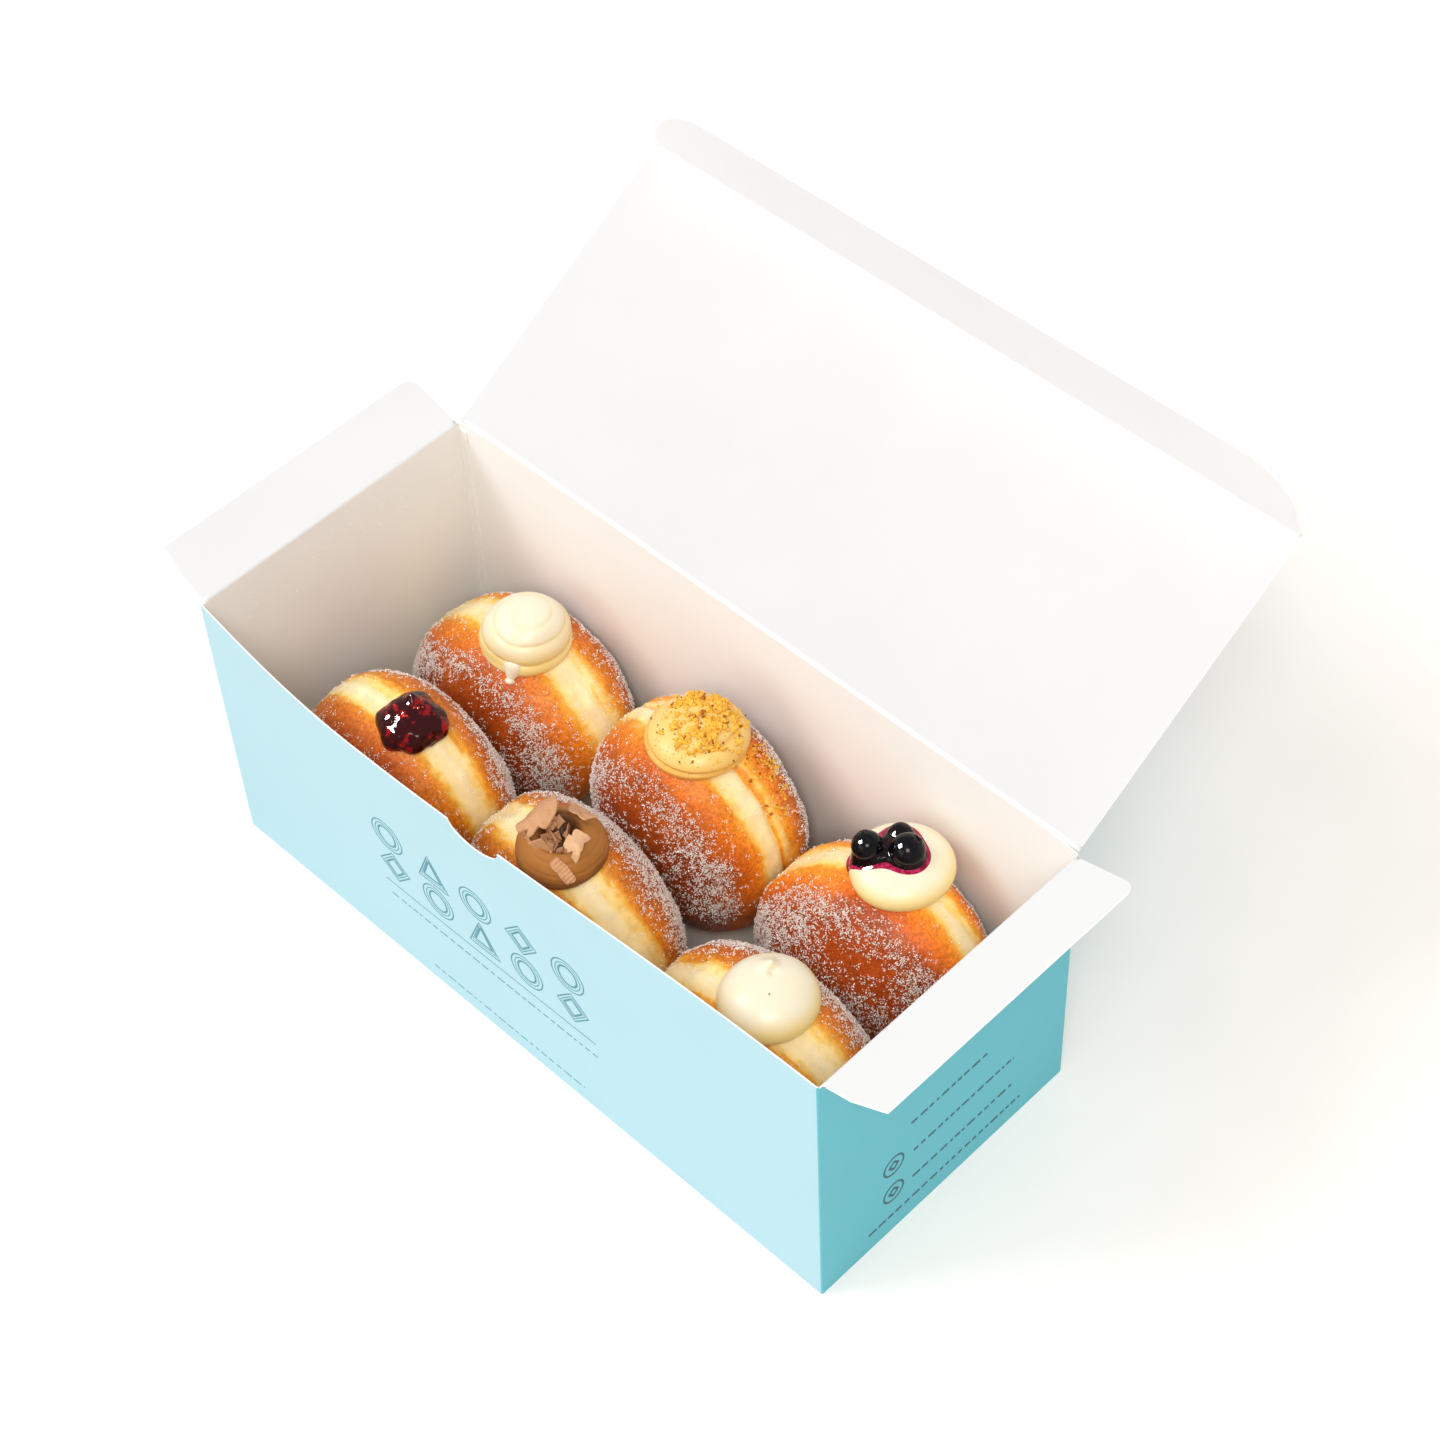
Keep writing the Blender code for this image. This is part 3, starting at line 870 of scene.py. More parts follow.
@dataclass
class Carton:
    """Folding carton: walls, base, lid, tuck, dust flaps, folds and print.

    Sizes are in metres and repeat the construction's own.

    Attributes:
        length, width, height, board: Outer sizes of the closed body, and the board's thickness.
        end_drop, end_ramp: How much lower than the long walls the end walls are, and how
            close to the corners they reach that.
        front_bow, front_bow_x, back_bow, back_ramp, bow_power: How far the front and back
            walls' rims bow out, where, over what length and how fast it fades downwards.
        notch_x, notch_half, notch_depth: The thumb notch in the front rim.
        corner_radius: Outer radius of the upright folds.
        crease: Gap that a panel leaves to its fold.
        hinge, lid_half, lid_depth, lid_opened: The lid's fold in Y and Z, its sizes and turn.
        tuck_half, tuck_depth, tuck_fold: The tuck's sizes and fold.
        tuck_rounds: Reach and squareness of its right and left corners.
        dust_x, dust_z, dust_opened, dust_depth: The dust flaps' folds, turns and depth.
        dust_ends, dust_round, dust_taper, dust_slant: Their ends along the fold, the back
            corner's radius, and where the front edge starts and how far it slants in.
        fold_lap, fold_rise, fold_reach: How far the bent board starts below the rim, how
            high its pull lies over that, and how far it reaches on the panel.
        front_ink_painted_light, end_ink, white, lid_white_painted_shade, lining, cut, teal, dark:
        The finishes; front_ink_painted_light is the aqua print painted lighter as glare and light,
        lid_white_painted_shade the white board painted darker as shade, and lining the white board
        painted lighter as light inside the carton.
    """

    length: float = 0.3000
    width: float = 0.1246
    height: float = 0.1253
    board: float = 0.0006
    end_drop: float = 0.0012
    end_ramp: float = 0.0002
    front_bow: float = 0.0069
    front_bow_x: float = -0.062
    back_bow: float = 0.0012
    back_ramp: float = 0.020
    bow_power: float = 1.5
    notch_x: float = -0.0015
    notch_half: float = 0.0117
    notch_depth: float = 0.0075
    corner_radius: float = 0.0008
    crease: float = 0.00045
    hinge: Pair = (0.0638, 0.1259)
    lid_half: float = 0.1492
    lid_depth: float = 0.1246
    lid_opened: float = math.radians(148.8)
    tuck_half: float = 0.1486
    tuck_depth: float = 0.0352
    tuck_fold: float = math.radians(75.8)
    tuck_rounds: tuple[Pair, Pair] = ((0.021, 2.0), (0.034, 1.6))
    dust_x: float = 0.1506
    dust_z: float = 0.1247
    dust_opened: Pair = (math.radians(160.7), math.radians(164.4))
    dust_depth: float = 0.0250
    dust_ends: Pair = (-0.0599, 0.0613)
    dust_round: float = 0.0050
    dust_taper: float = 0.0115
    dust_slant: float = 0.0029
    fold_lap: float = 0.0002
    fold_rise: Pair = (0.0006, 0.0008)
    fold_reach: Pair = (0.0008, 0.0009)
    # front_ink_painted_light is the same aqua print as the end's, painted lighter as glare and
    # light on the front wall.
    front_ink_painted_light: Finish = Board("clay_coated_boxboard_offset_printed_pale_aqua", "#a6ccd6", 0.5)
    end_ink: Finish = Board("clay_coated_boxboard_offset_printed_aqua", "#5ab9c7", 0.5)
    white: Finish = Board("clay_coated_boxboard_matt_white", "#eaeaea", 0.6)
    # lid_white_painted_shade is the same white board painted darker, as shade against the strong
    # light the lid catches.
    lid_white_painted_shade: Finish = Board("clay_coated_boxboard_matt_white_lid", "#d9d9d9", 0.6)
    # lining is the white board painted lighter, as painted light on the carton's inside walls and
    # base.
    lining_painted_light: Finish = Board("uncoated_boxboard_inside_white_painted_light", "#faf9f5", 0.8)
    cut: Finish = Board("die_cut_boxboard_edge", "#fbfaf7", 0.85, grain_mm=0.5, grain=0.3)
    teal: Finish = Board("offset_printed_teal_ink", "#3f8794", 0.5)
    dark: Finish = Board("offset_printed_dark_teal_ink", "#2b5560", 0.5)

    def bow(self, x: np.ndarray, front: bool) -> np.ndarray:
        """Return the outward bow of the front or back rim at places along X."""
        if not front:
            share = np.minimum(1.0, (self.length / 2 - np.abs(x)) / self.back_ramp)
            return self.back_bow * np.sin(np.clip(share, 0, 1) * math.pi / 2)
        half, peak = self.length / 2, self.front_bow_x
        left = np.sin(np.clip((x + half) / (peak + half), 0, 1) * math.pi / 2)
        right = np.cos(np.clip((x - peak) / (half - peak), 0, 1) * math.pi / 2) ** 2
        return self.front_bow * np.where(x < peak, left, right)

    def columns(self) -> np.ndarray:
        """Return places along X, close together at the notch and the corners."""
        half = self.length / 2 - self.corner_radius
        notch = self.notch_x + self.notch_half * np.sin(np.linspace(-1, 1, 41) * math.pi / 2)
        rest = np.linspace(-half, half, 121)
        clear = np.abs(rest - self.notch_x) > self.notch_half + 0.0008
        ramp = np.linspace(0, self.back_ramp, 9)[1:]
        return np.unique(np.concatenate([rest[clear], notch, -half + ramp, half - ramp]).round(7))

    def loop(self, inset: float) -> tuple[np.ndarray, np.ndarray]:
        """Return the walls' plan outline, anticlockwise from the front left.

        Args:
            inset: Distance inside the outer face.

        Returns:
            Plan points and, for each, 1 on the front wall, 2 on the back and 0 elsewhere.
        """
        xs, radius = self.columns(), self.corner_radius
        half_l, half_w = self.length / 2, self.width / 2
        flat, ramp = half_w - radius, self.end_ramp
        ends = np.concatenate([[-flat], np.linspace(ramp - flat, flat - ramp, 17), [flat]])
        front, right, back, left = (
            [[(sx * (half_l - radius) + (radius - inset) * math.cos(a),
               sy * (half_w - radius) + (radius - inset) * math.sin(a))
              for a in np.linspace(start, start + math.pi / 2, 5)[1:-1]]
             for sx, sy, start in ((1, -1, -math.pi / 2), (1, 1, 0.0),
                                   (-1, 1, math.pi / 2), (-1, -1, math.pi))])
        runs = (([(x, -half_w + inset) for x in xs], 1), (front, 0),
                ([(half_l - inset, y) for y in ends], 0), (right, 0),
                ([(x, half_w - inset) for x in xs[::-1]], 2), (back, 0),
                ([(-half_l + inset, y) for y in ends[::-1]], 0), (left, 0))
        return (np.array([point for run, _ in runs for point in run]),
                np.repeat([side for _, side in runs], [len(run) for run, _ in runs]))

    def rim(self, plan: np.ndarray, mark: np.ndarray) -> np.ndarray:
        """Return the wall's height at each plan point."""
        top = np.full(len(plan), self.height)
        end = np.abs(plan[:, 0]) > self.length / 2 - self.corner_radius - 1e-6
        inner = np.abs(plan[:, 1]) < self.width / 2 - self.corner_radius - 1e-6
        top[(mark == 0) & end & inner] -= self.end_drop
        share = np.clip(np.abs(plan[:, 0] - self.notch_x) / self.notch_half, 0, 1)
        cut = self.notch_depth * np.sqrt(1 - share ** 2)
        return np.where(mark == 1, self.height - cut, top)

    def walls(self, finishes: list[Material], rows: int = 22) -> None:
        """Build walls and base as one closed folded board.

        Args:
            finishes: Front, end, inside and cut-edge materials.
            rows: Rows of faces up each side of the walls.
        """
        shells = []
        for inset in (0.0, self.board):
            plan, mark = self.loop(inset)
            top = self.rim(plan, mark)
            z = inset + np.linspace(0, 1, rows + 1)[:, None] * (top - inset)[None]
            rise = (z / self.height) ** self.bow_power
            x, y = (np.broadcast_to(part, z.shape).copy() for part in plan.T)
            y -= np.where(mark == 1, self.bow(x, True), 0.0) * rise
            y += np.where(mark == 2, self.bow(x, False), 0.0) * rise
            shells.append(np.stack([x, y, z], -1))
        loops = np.concatenate([shells[0], shells[1][::-1]])
        levels, count = loops.shape[:2]
        here, _, quads = ring_quads(levels, count)
        finish = np.ones((levels - 1, count), int)
        finish[:rows, mark == 1] = 0
        finish[rows] = 3
        finish[rows + 1:] = 2
        made = add_piece("carton_walls", loops.reshape(-1, 3),
                         [quads[:, [0, 3, 2, 1]], here[:1, ::-1], here[-1:]], finishes,
                         "carton", np.concatenate([finish.ravel(), [1, 2]]))
        made.data.set_sharp_from_angle(angle=math.radians(35))
        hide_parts("carton_body")

    def strip(self, name: str, lines: list[list[Vector]], bodies: tuple[str, str],
              finishes: list[Material], white_up: bool = True, steps: int = 8,
              columns: int = 60) -> None:
        """Build the bent board over one fold.

        Args:
            name: The piece's name.
            lines: Two ends each of the line on the first body, the line that pulls the
                bend and the line on the second body.
            bodies: The bodies on both sides of the fold.
            finishes: Outside, inside and cut-edge materials.
            white_up: Whether the white side is on the side of along x away.
            steps: Faces across the bend.
            columns: Faces along it.
        """
        t = np.linspace(0, 1, steps + 1)[:, None, None]
        s = np.linspace(0, 1, columns + 1)[None, :, None]
        start, bend, end = (np.array(line[0]) * (1 - s) + np.array(line[1]) * s
                            for line in lines)
        mid = (1 - t) ** 2 * start + 2 * t * (1 - t) * bend + t ** 2 * end
        normal = np.cross(np.gradient(mid, axis=1), np.gradient(mid, axis=0))
        normal /= np.linalg.norm(normal, axis=2, keepdims=True)
        half = self.board / 2 * 0.98
        points = np.concatenate([mid + normal * half, mid - normal * half]).reshape(-1, 3)
        count = (steps + 1) * (columns + 1)
        here = np.arange(count).reshape(steps + 1, columns + 1)
        quads = np.stack([here[:-1, :-1], here[:-1, 1:], here[1:, 1:], here[1:, :-1]], -1)
        quads = quads.reshape(-1, 4)
        border = np.concatenate([here[0, :-1], here[:-1, -1], here[-1, :0:-1], here[:0:-1, 0]])
        next_one = np.roll(border, -1)
        sides = np.stack([border, border + count, next_one + count, next_one], -1)
        finish = np.repeat([int(white_up), int(not white_up), 2],
                           [len(quads), len(quads), len(sides)])
        made = add_piece(name, points, [quads, quads[:, ::-1] + count, sides], finishes,
                         bodies[0], finish)
        # The fold belongs to neither body alone, so the ride is undone.
        made.parent = None
        made.matrix_world = Matrix.Identity(4)
        del made["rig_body"]
        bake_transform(made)

    def lid_folds(self) -> tuple[Vector, Vector, Vector, Vector]:
        """Return the lid's fold and direction, then the tuck's."""
        fold = Vector((0, *self.hinge))
        lid, tuck = (Vector((0, -math.cos(turn), math.sin(turn)))
                     for turn in (self.lid_opened, self.lid_opened - self.tuck_fold))
        return fold, lid, fold + lid * self.lid_depth, tuck

    def dust_folds(self) -> list[tuple[str, int, Vector, Vector]]:
        """Return each dust flap's name, side, fold and direction."""
        return [(name, side, Vector((side * self.dust_x, 0, self.dust_z)),
                 Vector((-side * math.cos(opened), 0, math.sin(opened))))
                for name, side, opened in zip(("left", "right"), (-1, 1), self.dust_opened)]

    @staticmethod
    def corner(centre: Pair, reach: float, power: float,
               start: float) -> list[Pair]:
        """Return one rounded corner, a quarter of a superellipse from a start angle."""
        made = []
        for angle in np.linspace(start, start + math.pi / 2, 25):
            cos, sin = math.cos(angle), math.sin(angle)
            made.append((centre[0] + reach * math.copysign(abs(cos) ** (2 / power), cos),
                         centre[1] + reach * math.copysign(abs(sin) ** (2 / power), sin)))
        return made

    def flaps(self, finishes: list[Material], lid_white_painted_shade: Material) -> None:
        """Build the lid, the tuck and both dust flaps.

        Args:
            finishes: Printed side, white side and cut edge.
            lid_white_painted_shade: The lid's white side, the white board painted darker as shade.
        """
        near, far = self.crease, self.lid_depth - self.crease
        across = Vector((1, 0, 0))
        fold, lid, edge, tuck = self.lid_folds()
        wide, depth = self.tuck_half, self.tuck_depth
        Panel("lid_panel", "lid", fold, across, lid,
              [(-self.lid_half, near), (self.lid_half, near), (self.lid_half, far),
               (-self.lid_half, far)], True).build(
                   self.board, [finishes[0], lid_white_painted_shade, finishes[2]])
        (right, square), (left, flat) = self.tuck_rounds
        Panel("tuck_flap", "tuck", edge, across, tuck,
              [(-wide, near), (wide, near),
               *self.corner((wide - right, depth - right), right, square, 0.0),
               *self.corner((left - wide, depth - left), left, flat, math.pi / 2)],
              True).build(self.board, finishes)
        (start, end), reach, deep = self.dust_ends, self.dust_round, self.dust_depth
        outline = [(start, near), (end, near),
                   *self.corner((end - reach, deep - reach), reach, 2.0, 0.0),
                   (start + self.dust_slant, deep), (start, self.dust_taper)]
        for name, side, fold, away in self.dust_folds():
            Panel("dust_flap_" + name, "dust_" + name, fold, Vector((0, 1, 0)), away, outline,
                  side < 0).build(self.board, finishes)

    @staticmethod
    def line(point: Vector, axis: int, reach: Pair) -> list[Vector]:
        """Return the two ends of a line through a point along an axis."""
        ends = [point.copy(), point.copy()]
        for end, place in zip(ends, reach):
            end[axis] = place
        return ends

    def folds(self, finishes: list[Material]) -> None:
        """Build the bent board at the four folds.

        Args:
            finishes: Outside, inside and cut-edge materials.
        """
        fold, lid, edge, tuck = self.lid_folds()
        (lid_rise, dust_rise), (lid_reach, reach) = self.fold_rise, self.fold_reach
        wall = Vector((0, self.width / 2 + self.back_bow - self.board / 2,
                       self.height - self.fold_lap))
        for name, wide, middles, bodies in (
                ("lid_fold", self.lid_half,
                 (wall, wall + Vector((0, 0, lid_rise)), fold + lid * lid_reach),
                 ("carton", "lid")),
                ("tuck_fold", self.tuck_half, (edge - lid * reach, edge, edge + tuck * reach),
                 ("lid", "tuck"))):
            self.strip(name, [self.line(point, 0, (-wide, wide)) for point in middles], bodies,
                       finishes)
        for name, side, fold, away in self.dust_folds():
            top = Vector((side * (self.length / 2 - self.board / 2), 0,
                          self.height - self.end_drop - self.fold_lap))
            middles = (top, top + Vector((0, 0, dust_rise)), fold + away * reach)
            self.strip(f"dust_{name}_fold",
                       [self.line(point, 1, self.dust_ends) for point in middles],
                       ("carton", "dust_" + name), finishes, side < 0)

    def glue_seam(self, finishes: list[Material]) -> None:
        """Build the glue lap's edge in the left back inner corner."""
        x, y = -self.length / 2 + self.board, self.width / 2 - self.board
        lean = self.bow(np.array([x + 0.002]), False)[0]
        section = np.array([(0.0, 0.0003), (0.0, -0.0004), (0.0038, -0.0004), (0.0040, 0.0003)])
        levels = np.linspace(self.board, 0.1225, 24)
        points = [(x + along, y + lean * (z / self.height) ** self.bow_power + out, z)
                  for z in levels for along, out in section]
        here, _, quads = ring_quads(len(levels), len(section))
        add_piece("glue_lap", points, [quads[:, [0, 3, 2, 1]], here[:1, ::-1], here[-1:]],
                  [finishes[1]], "carton", smooth=False)

    def stray_sugar(self, crystal: Material, count: int = 90) -> None:
        """Scatter the few crystals that cling to the left inner wall."""
        rng = np.random.default_rng(61)
        level = 0.121 - rng.beta(1.2, 2.2, count) * 0.05
        wall = np.full(count, -self.length / 2 + self.board + 0.00015)
        places = np.stack([wall, rng.uniform(-0.045, 0.060, count), level], -1)
        Grains(Lump.CRYSTAL, 62).scatter("stray_sugar", places,
                                         rng.uniform(0.12, 0.34, (count, 3)) * MM, crystal)

    def on_front(self, x: np.ndarray, z: np.ndarray, proud: float) -> np.ndarray:
        """Return points a hair in front of the front wall."""
        y = -self.width / 2 - self.bow(x, True) * (z / self.height) ** self.bow_power - proud
        return np.stack([x, y, z], -1)

    def on_end(self, y: np.ndarray, z: np.ndarray, proud: float) -> np.ndarray:
        """Return points a hair outside the right end wall."""
        return np.stack([np.full_like(y, self.length / 2 + proud), y, z], -1)

    def front_print(self, ink: Material) -> None:
        """Print two rows of outlined shapes and three ruled lines on the front wall."""
        made = Ink(self.on_front)
        ring, lozenge, triangle = Motif.RING, Motif.LOZENGE, Motif.TRIANGLE
        for level, motifs in ((0.0778, (ring, triangle, ring, lozenge, ring)),
                              (0.0588, (lozenge, ring, triangle, ring, lozenge))):
            for number, motif in enumerate(motifs):
                for shrink, width in ((0.0, 0.0006), (0.0017, 0.0004), (0.0033, 0.0009)):
                    made.stroke(motif.outline((-0.0545 + number * 0.0225, level),
                                              (0.0076, 0.0085), shrink), width, True)
        made.stroke(np.stack([np.linspace(-0.0625, 0.045, 60), np.full(60, 0.0455)], -1), 0.0005)
        made.dashes((-0.061, 0.045), 0.0375, 0.0008, 5)
        made.dashes((-0.044, 0.035), 0.0080, 0.0007, 6)
        made.build("front_print", ink)

    def end_print(self, ink: Material) -> None:
        """Print two small signs and four ruled lines of bars on the right end."""
        made = Ink(self.on_end)
        for level in (0.040, 0.0235):
            for motif, half, width in ((Motif.RING, 0.0048, 0.0009),
                                       (Motif.LOZENGE, 0.0022, 0.0011)):
                made.stroke(motif.outline((-0.0265, level), (half, half)), width, True)
        for reach, level, seed in (((-0.018, 0.020), 0.056, 7), ((-0.0165, 0.0345), 0.038, 8),
                                   ((-0.017, 0.034), 0.022, 9), ((-0.039, 0.039), 0.0095, 10)):
            made.dashes(reach, level, 0.0013, seed)
        made.build("end_print", ink)

    def build(self) -> None:
        """Build every piece of the carton."""
        front, end, white, lid_white_painted_shade, lining_painted_light, cut = (f.material() for f in (
            self.front_ink_painted_light, self.end_ink, self.white, self.lid_white_painted_shade, self.lining_painted_light, self.cut))
        self.walls([front, end, lining_painted_light, cut])
        self.flaps([end, white, cut], lid_white_painted_shade)
        self.folds([end, white, cut])
        self.glue_seam([end, lining_painted_light, cut])
        self.stray_sugar(Crystal("granulated_sugar_on_board", "#fbf8f4").material())
        self.front_print(self.teal.material())
        self.end_print(self.dark.material())


# ---------------------------------------------------------------- doughnuts


@dataclass
class Doughnut:
    """One filled doughnut stood on edge.

    Its own X lies along the row, Y through the cake and Z up.

    Attributes:
        node: CAD node it replaces.
        radii: Half sizes along the row, through the cake and upright.
        yaw: Turn about the vertical, degrees.
        lean: Lean towards the front, degrees.
        band: Middle and half width of the pale band, in metres along Y.
        bare: Place on the front face left almost bare of sugar, as shares of the radii.
        sugar: How much sugar it carries.
        seed: Seed of its unevenness.
        folded: How deep the fold along its band is, from 0 to 1.
        fry_and_light_tone: Share of light its crust gives back: lower for a darker fry, and also
        painted light, darker on the front row and lighter on the back to even out their light.
        grains, heap: How many crystals lie on it, and how many cling in one clump.
        crystal_mm, drift_mm, pile_mm: Half sizes of the crystals, how far a clump spreads
            and how thick the coat lies; real crystals are near this size.
        room, floor: Half the carton's inner width and the height below which none lie.
        tuck: The shut tuck flap's fold in Y and Z, its slope and its lower edge; crystals
            behind it are left out.
        roundness: Power of its rounding, below 1 for a flatter cake.
        rings, segments: Fineness of its surface.
    """

    node: str
    radii: Point
    yaw: float
    lean: float
    band: Pair
    bare: Pair
    sugar: float
    seed: int
    folded: float = 0.25
    fry_and_light_tone: float = 1.0
    grains: int = 21000
    heap: int = 3
    crystal_mm: Pair = (0.18, 0.42)
    drift_mm: float = 0.52
    pile_mm: float = 1.05
    room: float = 0.0605
    floor: float = 0.0015
    tuck: tuple[float, ...] = (-0.0595, 0.1259, 0.182, 0.0890)
    roundness: float = 0.82
    rings: int = 110
    segments: int = 230
    noise: SpaceNoise = field(init=False)

    def __post_init__(self) -> None:
        """Seed the noise."""
        self.noise = SpaceNoise(self.seed)

    def place(self) -> Matrix:
        """Return the doughnut's place in the row frame."""
        stood = turned(self.yaw, "Z") @ turned(self.lean, "X")
        return Matrix.Translation(box_middle(self.node)) @ stood

    def band_share(self, points: np.ndarray) -> np.ndarray:
        """Return distance from the band's middle over its half width."""
        middle, half = self.band
        wander = 1.6 * MM * self.noise.at(points + 0.3, 0.016)
        widen = 1.0 + 0.22 * self.noise.at(points + 0.7, 0.014)
        return np.abs(points[:, 1] - middle - wander) / (half * widen)

    def sugar_share(self, points: np.ndarray) -> np.ndarray:
        """Return how thickly sugar lies.

        Args:
            points: Places on the surface in the doughnut's own axes.

        Returns:
            A value from 0 to 1 for each place.
        """
        middle, half = self.band
        x, y, z = points.T
        x, z = x / self.radii[0], z / self.radii[2]
        deep = (np.abs(y - middle) - half) / (self.radii[1] - half)
        rim = smoothstep(0.02, 0.85, deep)
        patch = self.noise.layered(points + 1.1, 0.0085)
        behind = 0.25 * smoothstep(0.0, 0.006, y - middle)
        level = (0.12 + 0.56 * rim + 0.26 * patch + behind) * self.sugar
        # A thumb-sized place on the face is rubbed nearly bare, and the outer edge is frosted.
        gap = np.hypot(0.75 * (x - self.bare[0]), z - self.bare[1])
        clear = 0.08 + 0.92 * smoothstep(0.08, 0.80, gap + 0.5 * behind)
        frost = 0.85 * smoothstep(0.55, 0.86, np.hypot(x, z)) * smoothstep(0.28, 0.72, deep)
        level = (level * clear + frost) * smoothstep(0.85, 1.45, self.band_share(points))
        # The left end pressed into the sugar, and a thin dusting lies over everything.
        ends = 0.5 * smoothstep(-0.66, -0.93, x) * (1 + patch)
        dusting = 0.14 + 0.07 * patch
        return np.clip(np.maximum(np.maximum(level, ends), dusting), 0.0, 1.0)

    def strings(self, points: np.ndarray) -> np.ndarray:
        """Return 0 to 1, high along the strings in which the crystals cling together."""
        wave = self.noise.layered(points + 2.3, 0.0019, 2)
        return 0.24 + 0.76 * (1 - smoothstep(0.04, 0.34, np.abs(wave)))

    def wrinkles(self, points: np.ndarray) -> np.ndarray:
        """Return the fine wrinkles that run along the band, from -1 to 1."""
        long, short = np.array([0.013, 0.0022, 0.013]), np.array([0.008, 0.0011, 0.008])
        return 0.7 * self.noise.at(points, long) + 0.4 * self.noise.at(points + 0.4, short)

    def crease(self, points: np.ndarray) -> np.ndarray:
        """Return 1 in the deep fold along the back half of the band, 0 away from it."""
        wander = 1.2 * MM * self.noise.at(points + 0.9, 0.010)
        gap = points[:, 1] - self.band[0] - 0.42 * self.band[1] - wander
        return self.folded * (0.75 * bell(gap / (0.9 * MM)) + 0.25 * bell(gap / (2.8 * MM)))

    def skin(self) -> Skin:
        """Return the doughnut's uneven surface in its own axes."""
        v = np.linspace(0, math.pi, self.rings + 2)[1:-1]
        phi = np.linspace(0, -2 * math.pi, self.segments, endpoint=False)
        e = self.roundness
        rad = np.sin(v) ** e
        y = np.sign(np.cos(v)) * np.abs(np.cos(v)) ** e * self.radii[1]
        grid = np.stack([
            self.radii[0] * rad[:, None] * np.cos(phi)[None],
            np.broadcast_to(y[:, None], (self.rings, self.segments)),
            self.radii[2] * rad[:, None] * np.sin(phi)[None]], -1)
        skin = Skin(grid, np.array([0, self.radii[1], 0]), np.array([0, -self.radii[1], 0]))
        points = grid.reshape(-1, 3)
        share = self.band_share(points)
        lumps = 0.95 * self.noise.at(points, 0.017) + 0.45 * self.noise.at(points, 0.0065)
        lumps = (lumps + 0.18 * self.noise.at(points, 0.0028)) * MM
        soft = 1 - smoothstep(0.9, 1.3, share)
        wrinkle = (0.46 * self.wrinkles(points) - 1.8 * self.crease(points)) * MM * soft
        step = 0.45 * MM * smoothstep(0.85, 1.15, share)
        skin.push(np.minimum(lumps + wrinkle + step - 0.8 * MM, 0.0))
        return skin

    def build(self, dough: Material, crystal: Material) -> tuple[Skin, Matrix]:
        """Build the doughnut and the sugar on it.

        Args:
            dough: The crust's material.
            crystal: The sugar's material.

        Returns:
            Its surface in its own axes, and its place.
        """
        skin, place = self.skin(), self.place()
        made = add_food(self.node + "_crust", skin, dough, self.node, place)
        points = skin.points()
        # Painted shade: the band's wrinkle valleys and its deep crease are pushed towards the
        # darker golden colours.
        golden = 0.07 * smoothstep(0.05, 0.7, -self.wrinkles(points)) + 0.18 * self.crease(points)
        set_values(made, "band", self.band_share(points) / 4 + golden)
        set_values(made, "fry_and_light_tone", np.full(len(points), self.fry_and_light_tone))
        set_values(made, "sugar", self.sugar_share(points) * (0.35 + 0.65 * self.strings(points)))
        self.sugar_coat(skin, place, crystal)
        return skin, place

    def sugar_coat(self, skin: Skin, place: Matrix, crystal: Material) -> None:
        """Scatter sugar crystals where the coat lies.

        Args:
            skin: The doughnut's surface in its own axes.
            place: Its place in the row frame.
            crystal: The sugar's material.
        """
        rng = np.random.default_rng(self.seed + 50)
        corners = [side.reshape(-1, 3) for rows in (skin.grid[:-1], skin.grid[1:])
                   for side in (rows, np.roll(rows, -1, axis=1))]
        middles = sum(corners) / 4
        area = np.linalg.norm(np.cross(corners[2] - corners[0], corners[1] - corners[0]), axis=1)
        high = smoothstep(-0.45, -0.05, middles[:, 2] / self.radii[2])
        weight = area * high * self.sugar_share(middles) ** 1.5 * self.strings(middles)
        heaps = self.grains // self.heap
        cell = rng.choice(len(weight), heaps, p=weight / weight.sum())
        down, across = rng.random((2, heaps, 1))
        points = ((corners[0][cell] * (1 - across) + corners[1][cell] * across) * (1 - down)
                  + (corners[2][cell] * (1 - across) + corners[3][cell] * across) * down)
        normals = skin.normals()[:-1].reshape(-1, 3)[cell]
        thick = np.repeat(self.sugar_share(points), self.heap)[:, None]
        points, normals = (np.repeat(part, self.heap, axis=0) for part in (points, normals))
        count = len(points)
        drift = rng.normal(0, self.drift_mm * MM, (count, 3))
        drift -= normals * np.sum(drift * normals, axis=1, keepdims=True)
        sizes = rng.uniform(*self.crystal_mm, (count, 1)) * rng.uniform(0.7, 1.15, (count, 3)) * MM
        rise = rng.random((count, 1)) ** 2 * self.pile_mm * thick
        centres = points + drift + normals * rise * MM
        y, z = moved(centres, place)[:, 1:].T
        fold_y, fold_z, slope, low = self.tuck
        inside = (np.abs(y) < self.room) & (z > self.floor)
        inside &= (z < low) | (y > fold_y + slope * (fold_z - z))
        Grains(Lump.CRYSTAL, self.seed + 90).scatter(
            self.node + "_sugar", centres[inside], sizes[inside], crystal, place)


# ---------------------------------------------------------------- fillings


